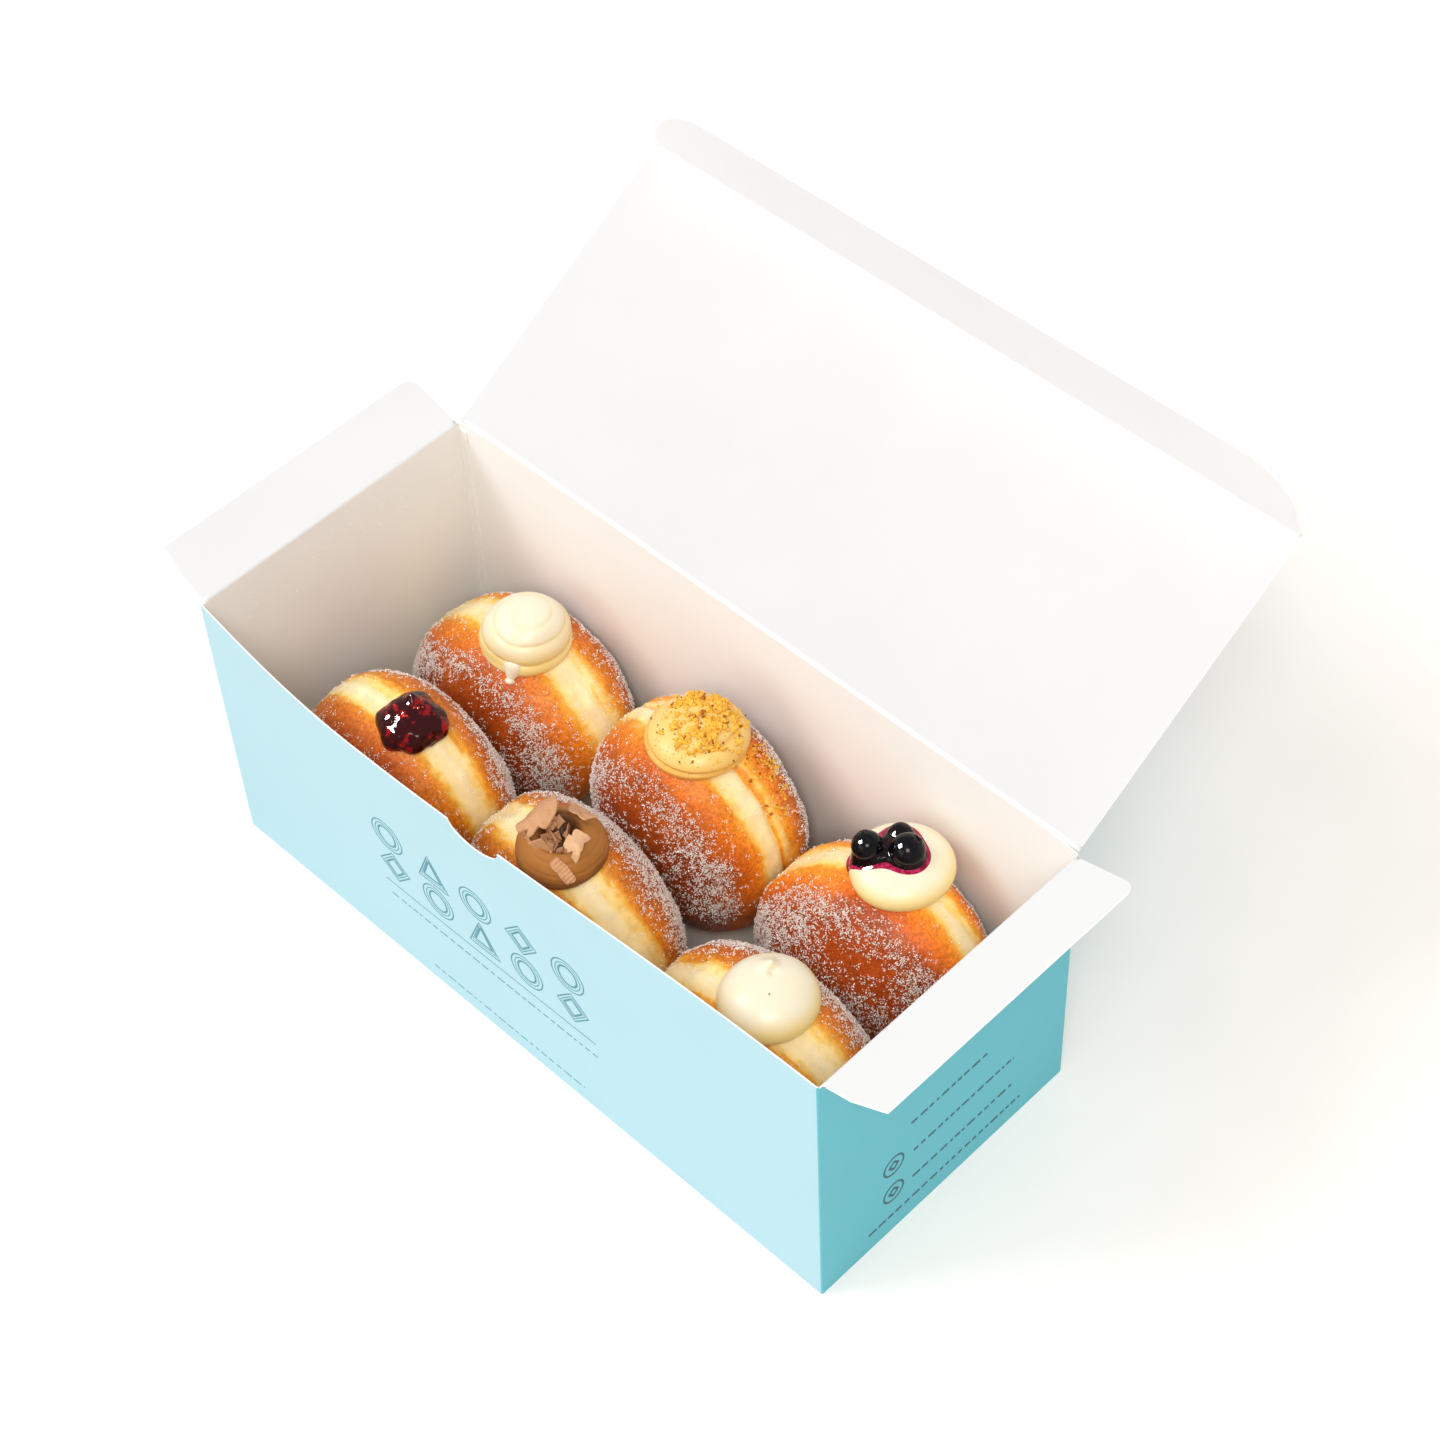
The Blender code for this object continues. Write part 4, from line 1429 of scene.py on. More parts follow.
@dataclass
class Filling:
    """A piped or spooned filling on top of a doughnut.

    Attributes:
        node: CAD node it replaces.
        radius: Radius of its widest ring.
        height: Height above that ring.
        seed: Seed of its unevenness.
        underside: Depth below that ring.
        rings, segments: Fineness of its surface.
    """

    node: str
    radius: float
    height: float
    seed: int
    underside: float = 0.0085
    rings: int = 90
    segments: int = 160
    noise: SpaceNoise = field(init=False)

    def __post_init__(self) -> None:
        """Seed the noise."""
        self.noise = SpaceNoise(self.seed)

    def centre(self) -> Vector:
        """Return the middle of the widest ring."""
        middle = box_middle(self.node)
        return Vector((middle.x, middle.y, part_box(self.node)[1].z - self.height))

    def profile(self, rise: np.ndarray) -> tuple[np.ndarray, np.ndarray]:
        """Return radius and height shares for steps from the top, 0, to the bottom, 1."""
        angle = math.pi / 2 - rise * math.pi * 0.93
        radius = np.cos(angle)
        height = np.where(angle > 0, np.sin(angle) * self.height, np.sin(angle) * self.underside)
        return radius * self.radius, height

    def shape(self, grid: np.ndarray, rise: np.ndarray, turn: np.ndarray) -> np.ndarray:
        """Return the uneven form of the plain one; kinds of filling override this.

        Args:
            grid: Points of the plain form about its ring's middle.
            rise: How far each is from the top, 0, to the bottom, 1.
            turn: Its angle round the middle.

        Returns:
            The points of the uneven form.
        """
        swell = 1 + 0.035 * self.noise.at(grid, self.radius * 0.9)
        return grid * swell[..., None]

    def folds(self, rise: np.ndarray, turn: np.ndarray) -> np.ndarray:
        """Return how much painted shade each point gets, in folds and on the low rim."""
        return 0.8 * smoothstep(0.28, 0.58, rise)

    def skin(self) -> tuple[Skin, np.ndarray]:
        """Return the filling's surface about its ring's middle, and its painted shade values."""
        rise, turn = np.meshgrid(np.linspace(0, 1, self.rings + 1)[1:], around(self.segments),
                                 indexing="ij")
        radius, height = self.profile(rise)
        grid = np.stack([radius * np.cos(turn), radius * np.sin(turn), height], -1)
        grid = self.shape(grid, rise, turn)
        made = Skin(grid, grid[0].mean(axis=0), grid[-1].mean(axis=0))
        return made, np.append(self.folds(rise, turn).ravel(), [0.0, 1.0])

    def build(self, finish: Material, slot: str) -> Skin:
        """Build the filling and return its surface about its ring's middle."""
        skin, folds = self.skin()
        made = add_food(self.node + "_top", skin, finish, self.node,
                        Matrix.Translation(self.centre()))
        # The fold values carry painted shade in folds and on the low rim.
        set_values(made, "fold", folds)
        return skin


@dataclass
class Swirl(Filling):
    """Custard piped in a rising spiral of some turns, slumped.

    Attributes:
        turns: How many turns it has.
        squeeze: How far the groove cuts in, as a share of the radius.
        sink: How far the groove sinks.
        lean: How far the top leans over in X and Y.
    """

    turns: float = 3.0
    squeeze: float = 0.085
    sink: float = 0.0006
    lean: Pair = (0.0022, 0.0012)

    def shape(self, grid: np.ndarray, rise: np.ndarray, turn: np.ndarray) -> np.ndarray:
        """Cut the spiral groove and lean the top over."""
        above = smoothstep(0.62, 0.50, rise)
        strong = (0.62 + 0.38 * facing(turn, -40)) * (0.45 + 1.5 * rise)
        groove = self.groove(rise, turn)
        made = super().shape(grid, rise, turn)
        made[..., :2] *= (1 - self.squeeze * groove * above * strong)[..., None]
        made[..., 2] -= self.sink * groove * above * strong
        sway = self.noise.at(grid * (0.2, 0.2, 1.0), 0.0052)
        made[..., 0] += 0.0016 * sway * above
        made[..., 1] -= 0.0013 * sway * above
        made[..., :2] += np.clip(made[..., 2:] / self.height, 0, 1) ** 1.5 * self.lean
        return made

    def groove(self, rise: np.ndarray, turn: np.ndarray) -> np.ndarray:
        """Return 1 in the spiral groove and 0 on the turns."""
        phase = rise * 2.0 * self.turns - turn / (2 * math.pi)
        lobe = np.abs(np.sin(math.pi * phase)) ** 0.32
        return (1 - lobe) * smoothstep(0.02, 0.12, rise)

    def folds(self, rise: np.ndarray, turn: np.ndarray) -> np.ndarray:
        """Return painted shade in the groove, on the low rim and on the front right side."""
        shade = 0.35 * smoothstep(0.15, 0.5, rise) * (0.5 + 0.5 * facing(turn, -55))
        return np.clip(0.5 * self.groove(rise, turn) + shade + super().folds(rise, turn), 0, 1)


@dataclass
class CreamDome(Filling):
    """Smooth piped dome with a small pulled tip.

    Attributes:
        tip: Place of the tip in plan.
        tip_height: How far it is pulled up.
        tip_width: Its width.
    """

    tip: Pair = (0.0, 0.0)
    tip_height: float = 0.0032
    tip_width: float = 0.0028

    def folds(self, rise: np.ndarray, turn: np.ndarray) -> np.ndarray:
        """Return painted shade on the low rim, deepest on the right."""
        side = 0.5 + 0.5 * facing(turn, -20)
        return np.clip(super().folds(rise, turn) + 0.4 * side * smoothstep(0.2, 0.5, rise), 0, 1)

    def shape(self, grid: np.ndarray, rise: np.ndarray, turn: np.ndarray) -> np.ndarray:
        """Pull up the tip, with a shallow crease beside it."""
        made = super().shape(grid, rise, turn)
        x, y = made[..., 0] - self.tip[0], made[..., 1] - self.tip[1]
        peak = bell(np.hypot(x, y) / self.tip_width)
        crease = bell(np.hypot(x - 0.0026, y + 0.0012) / (self.tip_width * 0.6))
        above = smoothstep(0.5, 0.42, rise)
        made[..., 2] += self.tip_height * (peak - 0.60 * crease) * above
        made[..., 0] += 0.35 * self.tip_height * peak ** 2 * above
        return made


@dataclass
class JamBlob(Filling):
    """Spooned jam: low, lumpy and drawn up to a small point."""

    def shape(self, grid: np.ndarray, rise: np.ndarray, turn: np.ndarray) -> np.ndarray:
        """Raise soft lumps, keeping inside the plain form."""
        rim = np.stack([np.cos(turn), np.sin(turn), np.zeros(turn.shape)], -1)
        lobes = 0.13 * self.noise.at(rim + 4.0, 0.50) * smoothstep(0.25, 0.5, rise)
        swell = 0.94 + 0.055 * self.noise.layered(grid, 0.0078) + lobes
        made = grid * swell[..., None]
        gap = np.hypot(made[..., 0] + 0.0030, made[..., 1] - 0.0042)
        made[..., 2] += (0.0032 * bell(gap / 0.0023)) * smoothstep(0.45, 0.35, rise)
        return made


@dataclass
class ChocolateCream(Filling):
    """Chocolate cream with piping lines and a broken hollow under the flakes."""

    def shape(self, grid: np.ndarray, rise: np.ndarray, turn: np.ndarray) -> np.ndarray:
        """Press the hollow in and cut the fine piping lines."""
        made = super().shape(grid, rise, turn)
        phase = rise * 9.0 - turn / (2 * math.pi)
        line = bell((phase - np.round(phase)) / 0.10)
        side = smoothstep(-0.2, 0.7, facing(turn, -10))
        made *= (1 - 0.022 * line * side * smoothstep(0.2, 0.3, rise))[..., None]
        gap = np.hypot(made[..., 0] - 0.0015, made[..., 1] + 0.001)
        pit = 1 - smoothstep(0.0030, 0.0095, gap)
        rough = self.noise.layered(made, 0.0035)
        made[..., 2] -= (0.0066 * pit + 0.0012 * rough * pit) * smoothstep(0.45, 0.35, rise)
        return made

    def folds(self, rise: np.ndarray, turn: np.ndarray) -> np.ndarray:
        """Return painted shade in the hollow and on the low rim."""
        return np.clip(0.9 * smoothstep(0.24, 0.10, rise) + 0.6 * smoothstep(0.4, 0.6, rise), 0, 1)


@dataclass
class CaramelCream(Filling):
    """Caramel cream in one flat turn, its end folded over at the rim."""

    def shape(self, grid: np.ndarray, rise: np.ndarray, turn: np.ndarray) -> np.ndarray:
        """Cut one shallow turn round the low side."""
        made = super().shape(grid, rise, turn)
        made *= (1 - 0.06 * self.line(rise, turn))[..., None]
        return made

    def line(self, rise: np.ndarray, turn: np.ndarray) -> np.ndarray:
        """Return 1 along the turn's edge."""
        phase = rise * 3.6 - turn / (2 * math.pi)
        return bell((phase - np.round(phase)) / 0.11) * smoothstep(0.22, 0.3, rise)

    def folds(self, rise: np.ndarray, turn: np.ndarray) -> np.ndarray:
        """Return painted shade along the turn's edge and on the low rim."""
        return np.clip(0.8 * self.line(rise, turn) + super().folds(rise, turn), 0, 1)


@dataclass
class Flake:
    """One large ragged chocolate flake.

    Attributes:
        node: CAD node it replaces.
        size: Width and length.
        bend: Rise of its middle.
        turns: Turns about X, Y and Z, degrees.
        seed: Seed of its torn edge.
        ragged: How torn its edge is.
        ribs: Height of the ribs left across it by the blade.
        thickness: Its thickness.
    """

    node: str
    size: Pair
    bend: float
    turns: Point
    seed: int
    ragged: float = 0.35
    ribs: float = 0.0
    thickness: float = 0.0007

    def build(self, finish: Material) -> None:
        """Build the flake as a thin torn sheet.

        Args:
            finish: Its material.
        """
        rho, theta = np.meshgrid(np.linspace(0.04, 1, 14), around(120), indexing="ij")
        rng = np.random.default_rng(self.seed)
        breaks = np.sort(rng.uniform(0, 2 * math.pi, 17))
        depth = rng.uniform(-1.0, 0.35, 17) * self.ragged
        torn = 1.1 + np.interp(theta, breaks, depth, period=2 * math.pi) * rho
        squared = (np.abs(np.cos(theta)) ** 5 + np.abs(np.sin(theta)) ** 5) ** -0.2
        x = rho * squared * torn * np.cos(theta) * self.size[0] / 2
        y = rho * squared * torn * np.sin(theta) * self.size[1] / 2
        ripple = 0.0006 * SpaceNoise(self.seed).layered(np.stack([x, y, 0 * x], -1), 0.0045)
        ribs = self.ribs * np.sin(2 * math.pi * x / 0.0013)
        z = self.bend * (1 - (2 * x / self.size[0]) ** 2) + ripple + ribs
        sheet, half = np.stack([x, y, z], -1), (0, 0, self.thickness / 2)
        points = np.concatenate([sheet + half, sheet - half]).reshape(-1, 3)
        here, after, quads = ring_quads(*x.shape)
        low = here.size
        rim = np.stack([here[-1], here[-1] + low, after[-1] + low, after[-1]], -1)
        turn = Matrix.Identity(4)
        for angle, axis in zip(self.turns, "XYZ"):
            turn = turned(angle, axis) @ turn
        place = Matrix.Translation(box_middle(self.node) - turn @ Vector((0, 0, self.bend / 2)))
        made = add_piece(
            self.node + "_flake", points,
            [quads, quads[:, ::-1] + low, rim, here[:1], here[:1, ::-1] + low], [finish],
            "carton", smooth=False, place=place @ turn)
        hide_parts(self.node)


@dataclass
class Berry:
    """One wet blueberry with its crown.

    Attributes:
        node: CAD node it replaces.
        crown: Direction of the crown.
    """

    node: str
    crown: Point

    def build(self, finish: Material) -> None:
        """Build the berry with a five-pointed crown round a small pit."""
        radius = half_height(self.node)
        down, turn = np.meshgrid(np.linspace(0, math.pi, 50)[1:-1], around(60), indexing="ij")
        star = 0.24 + 0.06 * np.cos(5 * turn)
        r = radius * (1 - 0.16 * bell(down / 0.17) + 0.055 * bell((down - star) / 0.07))
        grid = np.stack([r * np.sin(down) * np.cos(turn), r * np.sin(down) * np.sin(turn),
                         r * np.cos(down) * 0.96], -1)
        skin = Skin(grid, np.array([0, 0, radius * 0.8]), np.array([0, 0, -radius * 0.96]))
        tipped = Vector(self.crown).to_track_quat("Z", "Y").to_matrix().to_4x4()
        add_food(self.node + "_fruit", skin, finish, self.node,
                 Matrix.Translation(box_middle(self.node)) @ tipped)


@dataclass
class Glaze:
    """Poured glaze that pools on the custard and climbs between the berries.

    Attributes:
        name: The piece's name.
        spread: How far it runs past the berries.
        depth: Depth of the pool.
        climb: How far under the front berries' tops it stays.
        climb_back: The same for the back berry.
        middle: Middle of the pool in plan.
        custard_height: Height of the custard dome it lies on.
        soft: How softly pool and berries run together.
        rings, segments: Fineness of its surface.
    """

    name: str
    spread: float
    depth: float
    climb: float
    climb_back: float
    middle: Pair = (0.0925, 0.0385)
    custard_height: float = 0.0085
    soft: float = 0.0007
    rings: int = 46
    segments: int = 120

    def berries(self) -> list[tuple[Vector, float]]:
        """Return middle and radius of each berry."""
        return [(box_middle(node), half_height(node))
                for node in ("blueberry_left", "blueberry_right", "blueberry_back")]

    def custard(self, x: np.ndarray, y: np.ndarray) -> np.ndarray:
        """Return the height of the custard under places in plan."""
        low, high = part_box("filling_blueberry")
        middle, radius = (low + high) / 2, (high.x - low.x) / 2
        share = np.clip(1 - ((x - middle.x) ** 2 + (y - middle.y) ** 2) / radius ** 2, 0, 1)
        return high.z - self.custard_height + self.custard_height * np.sqrt(share)

    def field(self, x: np.ndarray, y: np.ndarray) -> np.ndarray:
        """Return above 1 where the glaze lies."""
        return sum(np.exp(-((np.hypot(x - at.x, y - at.y) / (r * 1.02 + self.spread)) ** 2) + 1)
                   for at, r in self.berries())

    def build(self, finish: Material) -> None:
        """Build the glaze as one closed skin.

        Args:
            finish: Its material.
        """
        theta = around(self.segments)
        far = np.linspace(0.0, 0.022, 441)[:, None]
        xs = self.middle[0] + far * np.cos(theta)[None]
        ys = self.middle[1] + far * np.sin(theta)[None]
        edge = np.array([far[np.flatnonzero(column >= 1.0).max(), 0]
                         for column in self.field(xs, ys).T])
        for _ in range(3):
            edge = (np.roll(edge, 1) + 2 * edge + np.roll(edge, -1)) / 4
        share = np.linspace(0, 1, self.rings + 1)[1:, None]
        x = self.middle[0] + edge[None] * share * np.cos(theta)[None]
        y = self.middle[1] + edge[None] * share * np.sin(theta)[None]
        base = self.custard(x, y)
        layers = [(base + self.depth * np.sqrt(1 - share ** 6)) / self.soft]
        for (at, r), climb in zip(self.berries(), (self.climb, self.climb, self.climb_back)):
            gap = np.hypot(x - at.x, y - at.y)
            inner = np.clip((r + 0.0001) ** 2 - gap ** 2, 0, None)
            crown = at.z + np.sqrt(inner) - climb
            layers.append(np.where(inner > 0, crown / self.soft, -1e3))
        stack = np.stack(layers)
        top = stack.max(axis=0)
        z = self.soft * (top + np.log(np.exp(stack - top).sum(axis=0)))
        ceiling = base + np.clip(z - base, 0, None) * (1 - share ** 14)
        upper = np.stack([x, y, ceiling], -1)
        lower = np.stack([x, y, base - 0.0009], -1)[::-1]
        middle = upper[0].mean(axis=0)
        skin = Skin(np.concatenate([upper, lower]), middle,
                    np.array([middle[0], middle[1], base[0].mean() - 0.0009]))
        add_food(self.name, skin, finish)


class Toppings:
    """Everything scattered on, poured over or dripping from the fillings."""

    def __init__(self, seed: int) -> None:
        """Seed the scatter."""
        self.rng = np.random.default_rng(seed)

    def on_top(self, skin: Skin, count: int, reach: float, centre: Pair,
               patch: float = 0.0) -> np.ndarray:
        """Pick places on a filling's upper side round a centre.

        Args:
            skin: The filling's surface about its ring's middle.
            count: How many places.
            reach: Distance from the centre within which most lie.
            centre: Middle of the scatter, in plan.
            patch: Size of the patches they gather in, or 0 for an even scatter.

        Returns:
            The places.
        """
        points = skin.grid[:len(skin.grid) // 2].reshape(-1, 3)
        area = np.hypot(points[:, 0], points[:, 1])
        gap = np.hypot(points[:, 0] - centre[0], points[:, 1] - centre[1])
        weight = area * np.exp(-(gap / reach) ** 4)
        if patch:
            weight = weight * (0.12 + smoothstep(-0.05, 0.25, SpaceNoise(88).at(points, patch)))
        picked = self.rng.choice(len(points), count, p=weight / weight.sum())
        return points[picked] + self.rng.normal(0, 0.00025, (count, 3))

    def crumbs(self, name: str, places: np.ndarray, sizes_mm: Pair, flatten: float,
               kind: Lump, finish: Material, origin: Vector, slot: str, seed: int) -> None:
        """Join small lumps at the given places into one piece.

        Args:
            name: The piece's name.
            places: Middle of each lump about the origin.
            sizes_mm: Smallest and largest size.
            flatten: Thickness as a share of the size.
            kind: Their shape.
            finish: Their material.
            origin: Where the places count from.
            slot: Not used.
            seed: Seed of their unevenness.
        """
        size = self.rng.uniform(*sizes_mm, (len(places), 1)) * MM / 2
        stretch = self.rng.uniform(0.6, 1.3, (len(places), 3)) * (1, 1, flatten)
        Grains(kind, seed).scatter(name, places, size * stretch, finish,
                                   Matrix.Translation(origin), 0.3)

    @staticmethod
    def tube_drop(name: str, path: list[Vector], radii: list[float], finish: Material,
                  slot: str) -> None:
        """Build a drip: a tapering rod with a rounded drop at its end.

        Args:
            name: The piece's name.
            path: Points of its middle line.
            radii: Radius at each point.
            finish: Its material.
            slot: Not used.
        """
        t = np.linspace(0, len(path) - 1, 28)
        line = np.stack([np.interp(t, range(len(path)), [p[i] for p in path])
                         for i in range(3)], -1)
        for _ in range(6):
            line[1:-1] = 0.25 * line[:-2] + 0.5 * line[1:-1] + 0.25 * line[2:]
        radius = np.interp(t, range(len(path)), radii)
        along = np.gradient(line, axis=0)
        along /= np.linalg.norm(along, axis=1, keepdims=True)
        side = np.cross(along, np.array([0.3, 0.2, 1.0]))
        side /= np.linalg.norm(side, axis=1, keepdims=True)
        up = np.cross(side, along)
        phi = around(24)[None, :, None]
        grid = (line[:, None] + radius[:, None, None]
                * (np.cos(phi) * side[:, None] + np.sin(phi) * up[:, None]))
        skin = Skin(grid[::-1], line[-1] + along[-1] * radius[-1] * 0.6,
                    line[0] - along[0] * radius[0])
        made = add_food(name, skin, finish)
        set_values(made, "fold", np.zeros(len(skin.points())))


# ---------------------------------------------------------------- studio


@dataclass
class Studio:
    """Plain pale floor, soft light from the upper left and the camera.

    Attributes:
        camera_at, look_at, roll, lens: The camera's place, aim, roll and focal length in mm.
        sky: Strength of the even light from all round.
        floor_reach: Half the floor's width.
        wet, sugared: Ends of the names of the glossy and the sugared pieces.
    """

    camera_at: Point = (0.52386, -0.44456, 0.93162)
    look_at: Point = (0.01105, 0.03573, 0.10506)
    roll: float = math.radians(-3.25)
    lens: float = 77.92
    sky: float = 0.56
    floor_reach: float = 6.0
    wet: tuple[str, ...] = ("_jam_top", "_pulp_bits", "berry_glaze", "berry_juice", "_fruit")
    sugared: tuple[str, ...] = ("_crust", "_sugar", "_flake", "_shavings")

    def facing(self, place: Point) -> Matrix:
        """Return the placing at a point that looks at the object."""
        aim = Vector(self.look_at) - Vector(place)
        return Matrix.Translation(place) @ aim.to_track_quat("-Z", "Y").to_matrix().to_4x4()

    def camera(self) -> None:
        """Aim the camera."""
        data = bpy.data.cameras.new("studio_camera")
        data.lens = self.lens
        data.sensor_width = 36.0
        data.clip_start = 0.05
        data.clip_end = 20.0
        made = add_object("studio_camera", data)
        made.matrix_world = self.facing(self.camera_at) @ Matrix.Rotation(self.roll, 4, "Z")
        bpy.context.scene.camera = made

    def lamp(self, name: str, place: Point, size: float, power: float,
             colour: str) -> bpy.types.Object:
        """Hang one square soft lamp that looks at the object and return it."""
        data = bpy.data.lights.new(name, "AREA")
        data.size = size
        data.energy = power
        data.color = linear(colour)[:3]
        made = add_object(name, data)
        made.matrix_world = self.facing(place)
        return made

    def only_on(self, lamp: bpy.types.Object, ends: tuple[str, ...]) -> None:
        """Let a lamp light only the pieces whose names end in given words."""
        lit = bpy.data.collections.new(lamp.name + "_pieces")
        for piece in bpy.context.scene.objects:
            if piece.name.endswith(ends):
                lit.objects.link(piece)
        lamp.light_linking.receiver_collection = lit

    def floor(self) -> None:
        """Lay a plain pale floor."""
        mesh = bpy.data.meshes.new("studio_floor")
        reach, level = self.floor_reach, CAD_BOX[0].z
        mesh.from_pydata([(-reach, -reach, level), (reach, -reach, level),
                          (reach, reach, level), (-reach, reach, level)], [], [(0, 1, 2, 3)])
        mesh.materials.append(Board("matt_white_studio_sheet", "#fff9f5", 0.9).material())
        add_object("studio_floor", mesh)

    def build(self) -> None:
        """Set up the sky, lamps, floor and camera."""
        scene = bpy.context.scene
        world = bpy.data.worlds.new("studio_sky")
        world.use_nodes = True
        back = world.node_tree.nodes["Background"]
        back.inputs["Color"].default_value = linear("#ffffff")
        back.inputs["Strength"].default_value = self.sky
        scene.world = world
        scene.view_settings.view_transform = "Standard"
        self.floor()
        self.lamp("key_lamp", (-3.9, -3.75, 5.7), 3.3, 235.0, "#f7f9ff")
        self.lamp("front_fill_lamp", (-0.6, -5.5, 2.25), 3.5, 57.0, "#ffffff")
        self.lamp("near_fill_lamp", (2.6, -2.6, 4.8), 2.2, 150.0, "#fffbf2")
        window = self.lamp("window_lamp", (-1.3, -1.25, 1.9), 1.05, 680.0, "#ffffff")
        window.visible_diffuse = False
        self.only_on(window, self.wet)
        food = self.lamp("food_lamp", (2.7, -2.3, 4.8), 2.2, 90.0, "#fffdf8")
        self.only_on(food, self.sugared)
        wash = self.lamp("floor_wash_lamp", (2.4, 0.6, 5.4), 3.0, 52.0, "#fff1f0")
        self.only_on(wash, ("studio_floor",))
        self.camera()


# ---------------------------------------------------------------- the whole


class DoughnutBox:
    """The filled carton."""

    def __init__(self) -> None:
        """Make the finishes."""
        self.dough = FriedDough("yeast_dough_fried_and_sugared").material()
        self.crystal = Crystal("granulated_sugar", "#fff3ea").material()
        # The custard's deep colour is painted shade in its folds and low rim.
        self.custard = Cream("set_vanilla_custard", "#f7edd4", deep="#f9dd92").material()
        self.jam = Syrup("raspberry_jam_set_glossy", "#36060b", thin="#9c1216",
                         thin_share=0.24, lump_mm=4.6, bump=0.25, roughness=0.04).material()
        self.pulp = Syrup("raspberry_pulp", "#c01a1c", thin="#e8402e", thin_share=0.6,
                          lump_mm=1.2, roughness=0.15).material()
        # Its deep colour, near black, is painted shade in the hollow and on the low rim.
        self.cocoa = Cream("milk_chocolate_cream", "#b3763a", deep="#34170a", roughness=0.45,
                           glow=0.05, shine=0.2).material()
        self.flake = Cream("milk_chocolate_shaved", "#c2916a", deep="#9c6c46", roughness=0.5,
                           glow=0.0, shine=0.25).material()
        # The pale copy of the shaved chocolate is a painted highlight for the right shard.
        self.flake_painted_lit = Cream("milk_chocolate_bloomed", "#d0a37a", deep="#b07e54",
                                roughness=0.5, glow=0.0).material()
        # Its deep colour is painted shade along the turn's edge and on the low rim.
        self.caramel = Cream("caramel_cream", "#f6d07c", deep="#efb858", specks=0.6).material()
        self.brittle = Syrup("caramelised_biscuit_crumb", "#dc9228", thin="#f6c048",
                             thin_share=0.7, lump_mm=0.9, roughness=0.35).material()
        self.toasted = Syrup("browned_biscuit_crumb", "#9a5418", thin="#c67a26",
                             thin_share=0.5, lump_mm=0.8, roughness=0.5).material()
        self.char = Finish("dark_caramel_speck", "#4a2208", 0.6).material()
        self.skin = Syrup("blueberry_skin_wet", "#08080c", thin="#1a0e1c", thin_share=0.12,
                          lump_mm=3.5, bump=0.08, roughness=0.06).material()
        self.glaze = Syrup("berry_glaze_set", "#0e080c", thin="#3a1420", thin_share=0.15,
                           lump_mm=4.0, bump=0.06, roughness=0.05).material()
        self.juice = Syrup("berry_juice_thin", "#8e0a34", thin="#c22a5c", thin_share=0.4,
                           lump_mm=2.0, bump=0.05, roughness=0.08).material()
        self.toppings = Toppings(77)
        self.surfaces: dict[str, tuple[Skin, Matrix]] = {}

    def doughnuts(self) -> None:
        """Build the six doughnuts."""
        # The baked values are partly painted light: lower on the front row, higher on the back
        # row.
        for bun in (
            Doughnut("bun_jam", (0.0423, 0.0292, 0.0495), 2.4, 5.7, (0.0015, 0.0075),
                     (0.1, 0.75), 1.12, 11, fry_and_light_tone=0.90),
            Doughnut("bun_custard_swirl", (0.0465, 0.0310, 0.0399), 2.1, -1.5,
                     (0.0020, 0.0088), (0.15, 0.8), 0.84, 12, fry_and_light_tone=0.95, grains=17000),
            Doughnut("bun_chocolate", (0.0444, 0.0282, 0.0498), -4.7, 10.6,
                     (-0.0005, 0.0085), (0.0, 1.0), 1.2, 13, fry_and_light_tone=0.82),
            Doughnut("bun_caramel", (0.0415, 0.0306, 0.0505), -1.5, 5.5, (0.0015, 0.0078),
                     (-0.1, 0.9), 0.72, 14, folded=1.0, grains=15000),
            Doughnut("bun_custard_dome", (0.0451, 0.0296, 0.0473), 4.6, 9.7,
                     (0.0, 0.0080), (0.2, 1.0), 1.0, 15, fry_and_light_tone=0.85),
            Doughnut("bun_blueberry", (0.0438, 0.0283, 0.0441), 12.2, -4.8,
                     (0.0030, 0.0066), (0.35, 0.85), 1.05, 16, fry_and_light_tone=1.14, grains=18000),
        ):
            self.surfaces[bun.node] = bun.build(self.dough, self.crystal)

    def fillings(self) -> None:
        """Build the fillings and what lies on them."""
        jam = JamBlob("filling_jam", 0.0135, 0.0086, 21)
        skin = jam.build(self.jam, "raspberry_jam")
        places = self.toppings.on_top(skin, 8, 0.0050, (-0.0012, 0.0020))
        self.toppings.crumbs("raspberry_pulp_bits", places - (0, 0, 0.0003), (0.9, 1.9), 0.7,
                             Lump.CRUMB, self.pulp, jam.centre(), "raspberry_jam", 31)
        swirl = Swirl("filling_custard_swirl", 0.0176, 0.0155, 22)
        swirl.build(self.custard, "custard")
        at = swirl.centre()
        self.toppings.tube_drop(
            "custard_drip",
            [at + Vector(p) for p in (
                (0.0064, -0.0108, 0.0004), (0.0074, -0.0132, -0.0008), (0.0080, -0.0149, -0.0021),
                (0.0083, -0.0158, -0.0031), (0.0085, -0.0165, -0.0040),
                (0.0086, -0.0169, -0.0046), (0.0087, -0.0171, -0.0050))],
            [0.0048, 0.0042, 0.0025, 0.0015, 0.0020, 0.0016, 0.0006], self.custard, "custard")
        cocoa = ChocolateCream("filling_chocolate", 0.0160, 0.0130, 23)
        skin = cocoa.build(self.cocoa, "chocolate")
        places = self.toppings.on_top(skin, 44, 0.0064, (0.0005, -0.0024))
        self.toppings.crumbs("chocolate_shavings", places + (0, 0, 0.0008), (1.8, 5.2), 0.14,
                             Lump.FLAKE, self.flake, cocoa.centre(), "chocolate", 32)
        caramel = CaramelCream("filling_caramel", 0.0185, 0.0092, 24)
        skin = caramel.build(self.caramel, "caramel_cream")
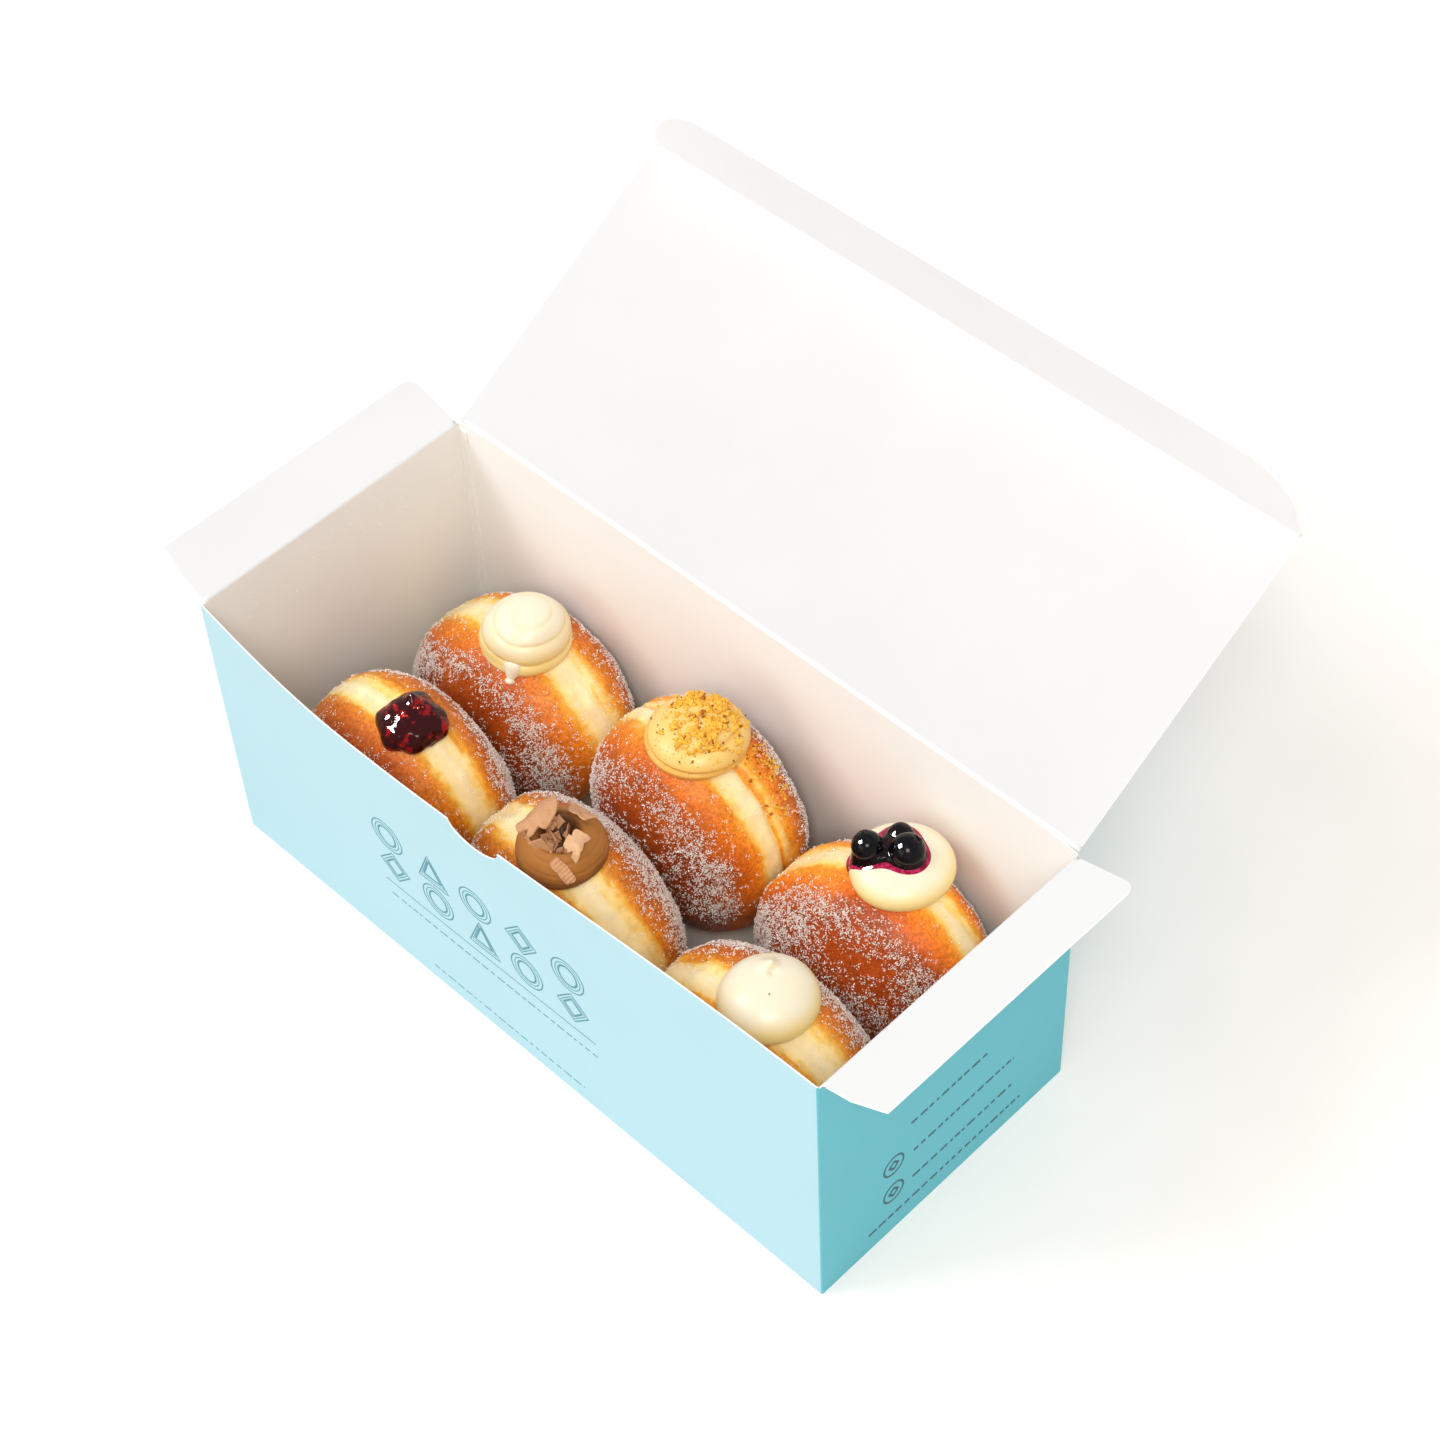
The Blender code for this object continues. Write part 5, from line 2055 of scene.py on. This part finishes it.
        for name, count, reach, size, finish, seed in (
                ("caramel_crumbs", 460, 0.0118, (0.9, 3.2), self.brittle, 33),
                ("browned_crumbs", 120, 0.0110, (0.7, 2.1), self.toasted, 35),
                ("caramel_specks", 34, 0.0160, (0.5, 0.9), self.char, 34)):
            places = self.toppings.on_top(skin, count, reach, (0.0015, 0.0022), 0.0034)
            self.toppings.crumbs(name, places, size, 0.7, Lump.CRUMB, finish,
                                 caramel.centre(), "caramel_cream", seed)
        self.spilled_crumbs()
        dome = CreamDome("filling_custard_dome", 0.0172, 0.0117, 25, tip=(-0.0040, 0.0045))
        skin = dome.build(self.custard, "custard")
        places = self.toppings.on_top(skin, 1, 0.0006, (0.0040, -0.0040))
        self.toppings.crumbs("vanilla_speck", places, (0.7, 0.8), 0.7, Lump.CRUMB, self.char,
                             dome.centre(), "custard", 39)
        CreamDome("filling_blueberry", 0.0182, 0.0085, 26, tip_height=0.0).build(
            self.custard, "custard")

    def spilled_crumbs(self) -> None:
        """Drop crumbs on the crust beside the caramel filling."""
        skin, place = self.surfaces["bun_caramel"]
        points = moved(skin.grid.reshape(-1, 3), place)
        middle = np.array([0.0330, 0.0420, 0.0920])
        gap = (points - middle) / (0.0085, 0.0050, 0.0085)
        weight = np.exp(-np.sum(gap ** 2, axis=1) / 2)
        rng = np.random.default_rng(36)
        for name, count, size, finish, seed in (
                ("spilled_crumbs", 120, (0.7, 1.9), self.brittle, 37),
                ("spilled_browned_crumbs", 60, (0.7, 1.6), self.toasted, 38)):
            picked = rng.choice(len(points), count, p=weight / weight.sum())
            self.toppings.crumbs(name, points[picked], size, 0.8, Lump.CRUMB, finish,
                                 Vector(), "caramel_cream", seed)

    def fruit(self) -> None:
        """Build the berries and the flakes."""
        for berry in (Berry("blueberry_left", (-0.5, 0.2, 0.6)),
                      Berry("blueberry_right", (0.3, 0.5, 0.8)),
                      Berry("blueberry_back", (-0.2, 0.8, 0.4))):
            berry.build(self.skin)
        Glaze("berry_juice", 0.0015, 0.0005, 0.0060, 0.0060).build(self.juice)
        Glaze("berry_glaze", 0.0005, 0.0022, 0.0014, -0.0003, soft=0.0012).build(self.glaze)
        for flake, finish in (
            (Flake("chocolate_shard_large", (0.0090, 0.0165), 0.0018, (8, -14, -6), 41),
             self.flake),
            # The right shard takes the chocolate painted lighter, as a highlight.
            (Flake("chocolate_shard_right", (0.0066, 0.0092), 0.0010, (6, 24, 20), 42, 0.55),
             self.flake_painted_lit),
            (Flake("chocolate_shard_back", (0.0105, 0.0060), -0.0014, (-38, 6, 10), 43),
             self.flake),
            (Flake("chocolate_ribbon", (0.0100, 0.0040), 0.0008, (28, 40, 8), 44, 0.2, 0.00012),
             self.flake),
        ):
            flake.build(finish)

    def build(self) -> None:
        """Build everything that belongs to the object."""
        Carton().build()
        self.doughnuts()
        self.fillings()
        self.fruit()


def main() -> None:
    """Build the object and the studio."""
    logging.basicConfig(level=logging.INFO, format="%(name)s: %(message)s")
    DoughnutBox().build()
    Studio().build()


if __name__ == "__main__":
    main()
